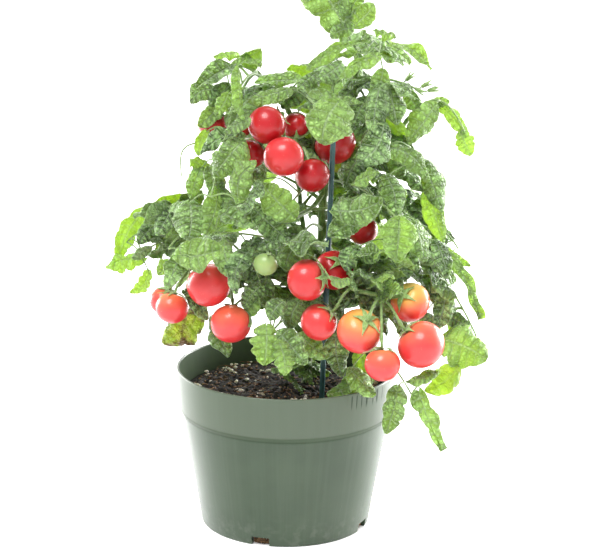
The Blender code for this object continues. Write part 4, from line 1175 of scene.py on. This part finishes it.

# The leaves on the front of the plant have grown every way towards the light. For each of their
# leaflets: its foot and its tip in mm, half its breadth in mm, which way it looks, its sag, the depth
# of its teeth, and how young it is, with how yellow and how brown after that where it is either. The
# youth is partly age and partly painted glow: leaflets that look behind and are lit through get more.
LEAFLETS = {
    "top": (
        (40, -10, 376, 1, -20, 421, 13.5, "v", 0, 0.13, 0.55),
        (42, -12, 383, 52, -14, 402, 6.7, "v", 0, 0.18, 0.65),
        (46, -18, 380, 60, -22, 396, 7, "v", 0.05, 0.06, 0.4),
        (45, -12, 377, 30, -16, 371, 4.8, "v", 0.15, 0.05, 0.6),
        (52, -10, 359, 31, -20, 354, 3.7, "u", 0.25, 0.03, 0.5),
    ),
    "top_right": (
        (72, 4, 363, 98, -4, 347, 6.3, "u", 0.45, 0.05, 0.75),
        (75, -6, 372, 59, -10, 376, 3.7, "u", 0.15, 0.05, 0.7),
        (55, -14, 367, 15, -34, 350, 4.1, "u", 0.35, 0.03, 0.55),
        (64, -20, 359, 35, -36, 343, 4.4, "u", 0.3, 0.03, 0.5),
        (67, -22, 349, 60, -28, 333, 5.5, "v", 0.15, 0.05, 0.35),
    ),
    "pale": (
        (37, -26, 354, 20, -34, 344, 7.7, "u", 0.1, 0.05, 0.3),
        (21, -16, 346, 7, -24, 335, 6.3, "u", 0.15, 0.05, 0.25),
        (33, -24, 326, 7, -34, 321, 4.8, "u", 0.2, 0.04, 0.25),
    ),
    "upper_left": (
        (-36, 0, 352, -20, 0, 360, 6.3, "b", 0.1, 0.06, 0.85),
        (-37, 0, 356, -55, -10, 355, 3, "u", 0.3, 0.03, 0.55),
        (-54, -10, 331, -70, -12, 322, 6.3, "v", 0.15, 0.05, 0.6),
        (-43, -8, 334, -55, -14, 320, 6.7, "v", 0.2, 0.08, 0.15),
    ),
    "hanging": (
        (-41, -10, 349, -19, -14, 350, 5.2, "u", 0.25, 0.06, 0.45),
        (-41, -12, 349, -64, -24, 335, 7.4, "u", 0.2, 0.08, 0.4),
        (-36, -30, 350, -32, -48, 318, 4.7, "r", 0.05, 0.05, 0.75),
        (-43, -30, 332, -51, -36, 319, 4.4, "v", 0.15, 0.15, 0.7),
        (-28, -46, 317, -44, -52, 308, 4.7, "u", 0.15, 0.05, 0.3),
    ),
    "left_dark": (
        (-49, -14, 323, -63, -22, 308, 5.5, "v", 0.2, 0.08, 0.45),
        (-59, -22, 303, -64, -26, 288, 4, "b", 0.15, 0.08, 0.7),
        (-33, -34, 304, -60, -40, 290, 5.8, "u", 0.2, 0.1, 0.05),
        (-32, -48, 301, -50, -58, 280, 10.1, "v", 0.15, 0.1, 0.2),
        (-35, -62, 261, -22, -66, 290, 6.8, "v", 0, 0.08, 0.65),
        (-58, -20, 273, -71, -26, 284, 5.5, "b", 0.1, 0.15, 0.8),
        (-63, -22, 276, -69, -30, 258, 5.1, "v", 0.2, 0.08, 0.25),
        (-57, -34, 279, -52, -40, 259, 6.2, "v", 0.2, 0.08, 0.15),
        (-54, -36, 268, -49, -46, 250, 8, "l", 0.15, 0.06, 0.2),
        (-70, -46, 256, -70, -62, 234, 11.6, "u", 0.1, 0.06, 0.4),
        (-50, -42, 265, -57, -60, 239, 8, "r", 0.15, 0.06, 0.3),
        (-20, -64, 275, -30, -70, 257, 5, "l", 0.15, 0.05, 0.5),
    ),
    "right_front": (
        (50, 2, 279, 33, 0, 271, 6.5, "v", 0.05, 0.1, 0, 0.95, 0.45),
        (47, -34, 327, 11, -46, 340, 5.5, "u", 0.1, 0.05, 0.5),
        (72, -20, 337, 77, -28, 314, 7.7, "v", 0.15, 0.06, 0.25),
        (65, -28, 339, 61, -36, 308, 7.3, "v", 0.15, 0.06, 0.1),
        (68, -36, 312, 50, -46, 287, 9.8, "v", 0.1, 0.08, 0.2),
        (48, -10, 335, 39, -14, 320, 5.2, "v", 0.15, 0.05, 0.15),
        (55, -20, 328, 47, -24, 309, 6.6, "v", 0.15, 0.05, 0.1),
    ),
    "heart": (
        (1, -20, 334, -29, -34, 328, 7, "u", 0.25, 0.05, 0.35),
        (8, -8, 339, -25, -14, 337, 6.7, "u", 0.2, 0.1, 0.5),
        (18, 10, 337, -3, 10, 345, 5.6, "b", 0.15, 0.1, 0.9),
        (35, -58, 332, 24, -68, 305, 14.3, "v", 0.05, 0.07, 0.35),
        (9, 0, 329, -4, -4, 318, 6, "v", 0.15, 0.06, 0.1),
    ),
    "right_high": (
        (106, -10, 322, 88, -18, 298, 8.9, "r", 0.15, 0.1, 0.45),
        (109, 0, 321, 128, -4, 298, 4.5, "l", 0.1, 0.12, 0.5),
        (125, -4, 301, 132, -8, 286, 5.9, "v", 0.1, 0.15, 0.8),
        (102, 0, 320, 117, 0, 323, 3.4, "v", 0.1, 0.1, 0.75),
        (86, 4, 331, 96, 0, 317, 5.2, "v", 0.1, 0.08, 0.4),
    ),
    "right_droop": (
        (74, 4, 312, 86, 0, 282, 5.2, "b", 0.1, 0.05, 0.9),
        (68, -30, 295, 98, -40, 273, 8.8, "u", 0.15, 0.06, 0.4),
        (97, -20, 282, 109, -28, 252, 7.4, "v", 0.2, 0.06, 0.5),
        (70, -40, 276, 76, -48, 250, 7.3, "v", 0.15, 0.06, 0.1),
        (101, -20, 262, 111, -28, 230, 6.6, "v", 0.2, 0.06, 0.5),
    ),
    "left_high": (
        (-65, -14, 247, -99, -22, 250, 5.5, "b", 0.25, 0.12, 0.9),
    ),
    "front_right": (
        (46, -50, 272, 65, -56, 282, 5.8, "u", 0.1, 0.08, 0.4),
        (33, -62, 255, 67, -70, 265, 9.3, "v", 0, 0.08, 0.5),
        (62, -52, 254, 31, -64, 237, 8.6, "v", 0.1, 0.08, 0.15),
        (79, -68, 251, 77, -78, 224, 10.7, "v", 0.1, 0.05, 0.25),
        (91, -58, 247, 97, -66, 222, 10, "r", 0.1, 0.06, 0.4),
    ),
    "front_middle": (
        (-19, -20, 268, -35, -22, 270, 4.4, "v", 0.2, 0.08, 0.15),
        (5, -58, 249, -18, -62, 274, 10, "v", 0, 0.12, 0.7),
        (-23, -48, 251, -1, -58, 233, 7.9, "v", 0.15, 0.06, 0.05),
    ),
    "right_dark": (
        (85, -4, 258, 78, -6, 247, 4.5, "b", 0.1, 0.1, 0.8),
    ),
    "front_left": (
        (-47, -60, 252, -23, -72, 242, 6.4, "u", 0.15, 0.1, 0.6),
        (-26, -60, 225, -35, -72, 199, 6.4, "r", 0.15, 0.03, 0.05),
        (-45, -58, 231, -39, -68, 209, 6.5, "v", 0.15, 0.06, 0.25),
    ),
    "right_face": (
        (106, -48, 230, 113, -56, 208, 5.8, "v", 0.15, 0.06, 0.5),
        (52, -70, 223, 66, -74, 228, 6.4, "v", 0.05, 0.08, 0.4),
        (49, -62, 228, 43, -66, 213, 6.1, "v", 0.1, 0.08, 0.15),
        (84, -60, 231, 92, -64, 213, 5, "v", 0.1, 0.08, 0.25),
    ),
    "centre_dark": (
        (3, -50, 233, -20, -66, 227, 5.8, "u", 0.2, 0.05, 0.15),
        (0, -56, 231, 30, -78, 234, 9.3, "u", 0.2, 0.06, 0.2),
        (32, -86, 209, 46, -90, 212, 3.9, "u", 0.1, 0.05, 0.65),
    ),
    "far_left": (
        (-104, 0, 240, -121, -4, 207, 7.1, "b", 0.25, 0.15, 0.95),
        (-105, -8, 205, -133, -12, 198, 5.9, "u", 0.2, 0.18, 0.9),
        (-102, -12, 196, -114, -16, 182, 4.4, "v", 0.2, 0.2, 0.9),
        (-94, -12, 231, -108, -18, 219, 5.9, "v", 0.15, 0.06, 0.5),
    ),
    "left_pale": (
        (-85, -24, 245, -94, -32, 230, 5.9, "v", 0.15, 0.05, 0.1),
        (-75, -60, 222, -84, -70, 201, 6.1, "v", 0.15, 0.08, 0.1),
    ),
    "far_right": (
        (113, -20, 217, 133, -22, 206, 2.9, "v", 0.15, 0.1, 0.8),
        (118, -28, 214, 140, -34, 172, 3.3, "r", 0.1, 0.08, 0.75),
    ),
    "left_middle": (
        (-78, -68, 222, -44, -80, 231, 9.8, "v", 0.05, 0.05, 0.85),
        (-74, -40, 189, -59, -48, 171, 5.1, "v", 0.15, 0.08, 0.1),
        (-18, -50, 196, -30, -56, 182, 6.5, "v", 0.1, 0.12, 0.2),
        (-14, -40, 198, -18, -46, 179, 6.5, "v", 0.1, 0.12, 0.35),
    ),
    "low_right": (
        (106, -50, 197, 122, -54, 190, 4.7, "u", 0.15, 0.06, 0.45),
        (115, -46, 192, 110, -50, 169, 6.5, "v", 0.15, 0.08, 0.2),
        (120, -30, 170, 143, -34, 146, 6.9, "b", 0.15, 0.12, 0.9),
        (118, -36, 172, 133, -40, 166, 5.1, "v", 0.15, 0.06, 0.15),
        (113, -52, 158, 144, -60, 146, 13, "v", 0.1, 0.1, 0.45, 0.1),
        (125, -56, 139, 102, -64, 123, 7.9, "v", 0.1, 0.1, 0.6, 0.55),
        (99, -40, 173, 110, -44, 160, 5.8, "v", 0.1, 0.08, 0.1),
    ),
    "yellow": (
        (-64, -4, 161, -91, -10, 141, 10.8, "v", 0.1, 0.12, 0.4, 0.62, 0.52),
    ),
    "low_left": (
        (-55, -30, 166, -44, -40, 142, 6.6, "v", 0.15, 0.1, 0.3),
    ),
    "low_front": (
        (-14, -74, 173, -15, -80, 148, 9.6, "v", 0.1, 0.22, 0.5),
        (-5, -74, 168, 13, -80, 148, 7.8, "v", 0.1, 0.22, 0.5),
        (-5, -80, 163, -1, -86, 142, 7.4, "v", 0.1, 0.24, 0.6),
        (-2, -66, 189, -11, -70, 177, 6.1, "v", 0.1, 0.1, 0.3),
        (9, -50, 185, 3, -56, 167, 7.2, "v", 0.1, 0.12, 0.15),
        (-21, -52, 186, -33, -58, 170, 5.8, "l", 0.1, 0.1, 0.35),
        (10, -62, 163, 29, -68, 149, 6.4, "v", 0.15, 0.14, 0.45),
        (22, -40, 186, 13, -44, 171, 5.1, "v", 0.1, 0.08, 0.2),
    ),
    "over_rim": (
        (79, -94, 135, 72, -100, 105, 7, "v", 0.1, 0.16, 0.35),
        (94, -92, 131, 111, -98, 93, 7.4, "l", 0.1, 0.18, 0.5),
        (107, -88, 144, 86, -94, 138, 4.2, "u", 0.15, 0.08, 0.5),
        (63, -40, 126, 31, -58, 116, 6.9, "u", 0.1, 0.16, 0.35),
        (46, -60, 137, 63, -66, 120, 6.8, "v", 0.1, 0.16, 0.2),
        (36, -50, 160, 40, -56, 134, 7.2, "v", 0.15, 0.1, 0.1),
        (53, -30, 141, 57, -34, 125, 5.1, "b", 0.15, 0.06, 0.8),
    ),
}


def leafy(name, shapes):
    """A piece made of leaves, with the finishes that their shapes refer to by number."""
    return piece(name, shapes, [leaf_upper, leaf_under, stalk_skin, down])


for name, stem, share, tip, bow, *sizes in LEAVES:
    leaf_chance = np.random.default_rng(sum(map(ord, name)))
    rachis = rachis_from(stem, share, tip, bow)
    if name in LEAFLETS:
        shapes = placed_leaf(rachis, LEAFLETS[name], leaf_chance)
    else:
        shapes = full_leaf(rachis, np.array(tip), *sizes, (BACK_YOUTH,), leaf_chance)
    leaf = leafy(f"foliage_{name}", shapes)
    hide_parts(f"leaf_{name}")


# ------------------------------------------------------------------ the inner leaves
# Shaded leaves that fill the room between the stems and the outer foliage. Each stem has some at the
# given shares of its length, turned by the golden angle, and kept within the plant's outline.

GOLDEN_ANGLE = 2.4
INNER_SHARES = {
    "main": (0.22, 0.29, 0.36, 0.43, 0.50, 0.57, 0.64, 0.71, 0.78, 0.86, 0.94),
    "upper_left": (0.25, 0.45, 0.65, 0.85),
    "lower_left": (0.25, 0.45, 0.62, 0.80, 0.95),
    "lower_right": (0.25, 0.45, 0.62, 0.80, 0.95),
    "upper_right": (0.30, 0.55, 0.80),
    "back": (0.30, 0.50, 0.70, 0.90),
}
OUTLINE_HEIGHTS = (0.12, 0.16, 0.21, 0.26, 0.31, 0.35, 0.40)
OUTLINE_LEFT = (-0.045, -0.075, -0.105, -0.080, -0.060, -0.028, 0.005)
OUTLINE_RIGHT = (0.080, 0.115, 0.115, 0.105, 0.095, 0.080, 0.045)
INNER_FRONT = (
    ("main", 0.24, (-0.026, -0.036, 0.192)), ("main", 0.20, (-0.004, -0.042, 0.178)),
    ("main", 0.30, (-0.046, -0.020, 0.186)), ("main", 0.34, (0.000, -0.034, 0.206)),
    ("main", 0.26, (0.046, -0.032, 0.190)), ("lower_right", 0.35, (0.072, -0.026, 0.170)),
    ("lower_right", 0.80, (0.112, -0.036, 0.206)), ("lower_right", 0.90, (0.122, -0.030, 0.168)),
    ("lower_right", 0.55, (0.098, -0.012, 0.150)), ("lower_left", 0.55, (-0.066, 0.004, 0.186)),
    ("main", 0.66, (-0.030, -0.016, 0.262)), ("upper_right", 0.50, (0.096, -0.020, 0.262)),
    ("lower_right", 0.42, (0.070, -0.046, 0.164)), ("lower_right", 0.50, (0.086, -0.044, 0.158)),
    ("lower_right", 0.46, (0.078, -0.050, 0.180)),
)
INNER_LOWEST = (-0.03, 0.125)  # the least depth and height of an inner leaf's tip
INNER_HIGHEST = (0.095, 0.37)
INNER_REACH = (0.052, 0.075)

inner_number = 0
for stem, shares in INNER_SHARES.items():
    shapes = []
    inner_chance = np.random.default_rng(100 + len(shares) + sum(map(ord, stem)))
    for share in shares:
        inner_number += 1
        angle = GOLDEN_ANGLE * inner_number
        start = stem_line(stem, (share,))[0]
        along = np.array((math.cos(angle), 0.35 + 0.65 * math.sin(angle), inner_chance.uniform(-0.35, 0.35)))
        tip = start + unit(along) * inner_chance.uniform(*INNER_REACH)
        left, right = (np.interp(tip[2], OUTLINE_HEIGHTS, side) for side in (OUTLINE_LEFT, OUTLINE_RIGHT))
        tip = np.clip(tip, (left, *INNER_LOWEST), (right, *INNER_HIGHEST))
        rachis = rachis_from(stem, share, tip, 0.008)
        shapes += full_leaf(rachis, tip, 0.024, 0.032, 2, (0.15,), inner_chance)
    leafy(f"inner_leaves_{stem}", shapes)

shapes = []
for stem, share, tip in INNER_FRONT:
    rachis = rachis_from(stem, share, tip, 0.010)
    shapes += full_leaf(rachis, np.array(tip), 0.022, 0.030, 2, (0.12,), inner_chance)
leafy("inner_leaves_front", shapes)


# ------------------------------------------------------------------ the small shoots
# Tufts of curled young leaves over the trusses, with one tendril beside them, suckers at the foot of
# the stem, and one unopened flower truss under the tip, whose pointed buds lean outwards.

TUFT = (
    ((0.052, -0.036, 0.206), (0.046, -0.078, 0.223)), ((0.056, -0.044, 0.207), (0.057, -0.082, 0.229)),
    ((0.058, -0.047, 0.206), (0.068, -0.080, 0.231)), ((0.056, -0.044, 0.207), (0.080, -0.076, 0.226)),
    ((0.060, -0.052, 0.203), (0.091, -0.070, 0.217)), ((0.050, -0.056, 0.202), (0.056, -0.088, 0.213)),
    ((0.060, -0.060, 0.200), (0.073, -0.090, 0.214)), ((0.048, -0.058, 0.201), (0.046, -0.086, 0.206)),
    ((0.064, -0.066, 0.198), (0.080, -0.086, 0.202)), ((0.056, -0.050, 0.204), (0.066, -0.088, 0.204)),
    ((-0.070, -0.012, 0.220), (-0.100, -0.026, 0.212)), ((-0.076, -0.012, 0.224), (-0.112, -0.012, 0.206)),
    ((-0.060, -0.010, 0.214), (-0.092, -0.036, 0.200)), ((-0.052, -0.010, 0.208), (-0.078, -0.046, 0.206)),
    ((-0.066, -0.011, 0.218), (-0.088, -0.030, 0.226)), ((-0.078, -0.012, 0.225), (-0.104, 0.006, 0.228)),
)
TENDRIL = (
    (-0.056, 0.000, 0.291), (-0.070, -0.005, 0.2905), (-0.0770, -0.006, 0.286), (-0.0790, -0.006, 0.277),
    (-0.0780, -0.006, 0.266),
)
shapes = []
tuft_chance = np.random.default_rng(31)
for start, tip in TUFT:
    youth = tuft_chance.uniform(0.15, 0.6)
    roll = tuft_chance.uniform(-60, 60)
    rachis = arch(start, tip, 0.003)
    shapes += full_leaf(rachis, np.array(tip), 0.009, 0.014, 2, (youth,), tuft_chance, roll)
tendril = smooth_path(TENDRIL, np.linspace(0, 1, 40))
shapes.append(tube(tendril, np.linspace(0.0007, 0.0004, 40), 7, part=2))
shapes.append(hairs(tendril, 0.0005, 120, tuft_chance, part=3))
leafy("young_tuft", shapes)

SUCKERS = (
    (0.03, (-0.010, -0.022, 0.122)), (0.06, (0.002, -0.030, 0.128)), (0.08, (0.024, -0.024, 0.124)),
    (0.10, (-0.014, 0.004, 0.136)), (0.12, (0.036, -0.008, 0.134)), (0.05, (0.016, 0.032, 0.126)),
    (0.14, (0.008, -0.036, 0.140)),
)
shapes = []
for share, tip in SUCKERS:
    rachis = rachis_from("main", share, tip, 0.006)
    shapes += full_leaf(rachis, np.array(tip), 0.013, 0.017, 2, (0.25, 0.05), tuft_chance)
leafy("base_suckers", shapes)

BUDS = ((0.70, (0.6, -0.5, 0.7)), (0.82, (1.0, 0.3, -0.5)), (0.92, (0.9, -0.3, 0.6)), (1.0, (1.0, 0.1, 0.25)))
BUD_LENGTH = 0.0065
BUD_RADIUS = 0.0013
bud_line = arch(off_stem("main", 0.90, (0.098, -0.014, 0.333), -SUNK_FOOT), (0.096, -0.014, 0.332), 0.004)
shapes = [tube(bud_line(np.linspace(0, 1, 24)), np.linspace(0.0011, 0.0007, 24), 8, part=1)]
for share, lean in BUDS:
    foot = bud_line(share)
    seat = foot + unit(lean) * 0.004
    shapes.append(tube(np.linspace(foot, seat, 6), 0.0005, 6, part=1))
    heading = facing(lean)
    swell = np.sin(np.pi * np.linspace(0.06, 0.97, 14)) ** 0.8
    shapes.append(tube(np.linspace(seat, seat + heading[:, 2] * BUD_LENGTH, 14), BUD_RADIUS * swell, 9))
    for number in range(5):
        angle = number * 1.2566 + 0.3
        v = np.linspace(0, 1, 9)[:, None]
        u = np.linspace(-1, 1, 5)[None, :]
        out = 0.0011 + 0.0016 * v**1.5 + 0 * u
        side = 0.0009 * u * (1 - v) ** 0.6 * (0.6 + v)
        sepal = swung(out, side, 0.0085 * v + 0 * u, angle)
        shapes.append(shell(sepal @ heading.T + seat, 0.0003))
piece("flower_buds", shapes, [sepal_skin, stalk_skin])


# ------------------------------------------------------------------ the table top
# Plain white, large enough to fill the view behind the plant.

white_top, place = new_finish("white_top")
dress(white_top, (0.95, 0.95, 0.95), 0.6, Emission_Color=(1, 1, 1), Emission_Strength=TABLE_GLOW)
half = TABLE_SIDE / 2
sheet_corners = np.array(((-half, -half, 0), (half, -half, 0), (half, half, 0), (-half, half, 0)))
table_mesh = bpy.data.meshes.new("table")
table_mesh.from_pydata(sheet_corners.tolist(), [], [(0, 1, 2, 3)])
table_mesh.materials.append(white_top)
table = bpy.data.objects.new("table", table_mesh)
bpy.context.scene.collection.objects.link(table)
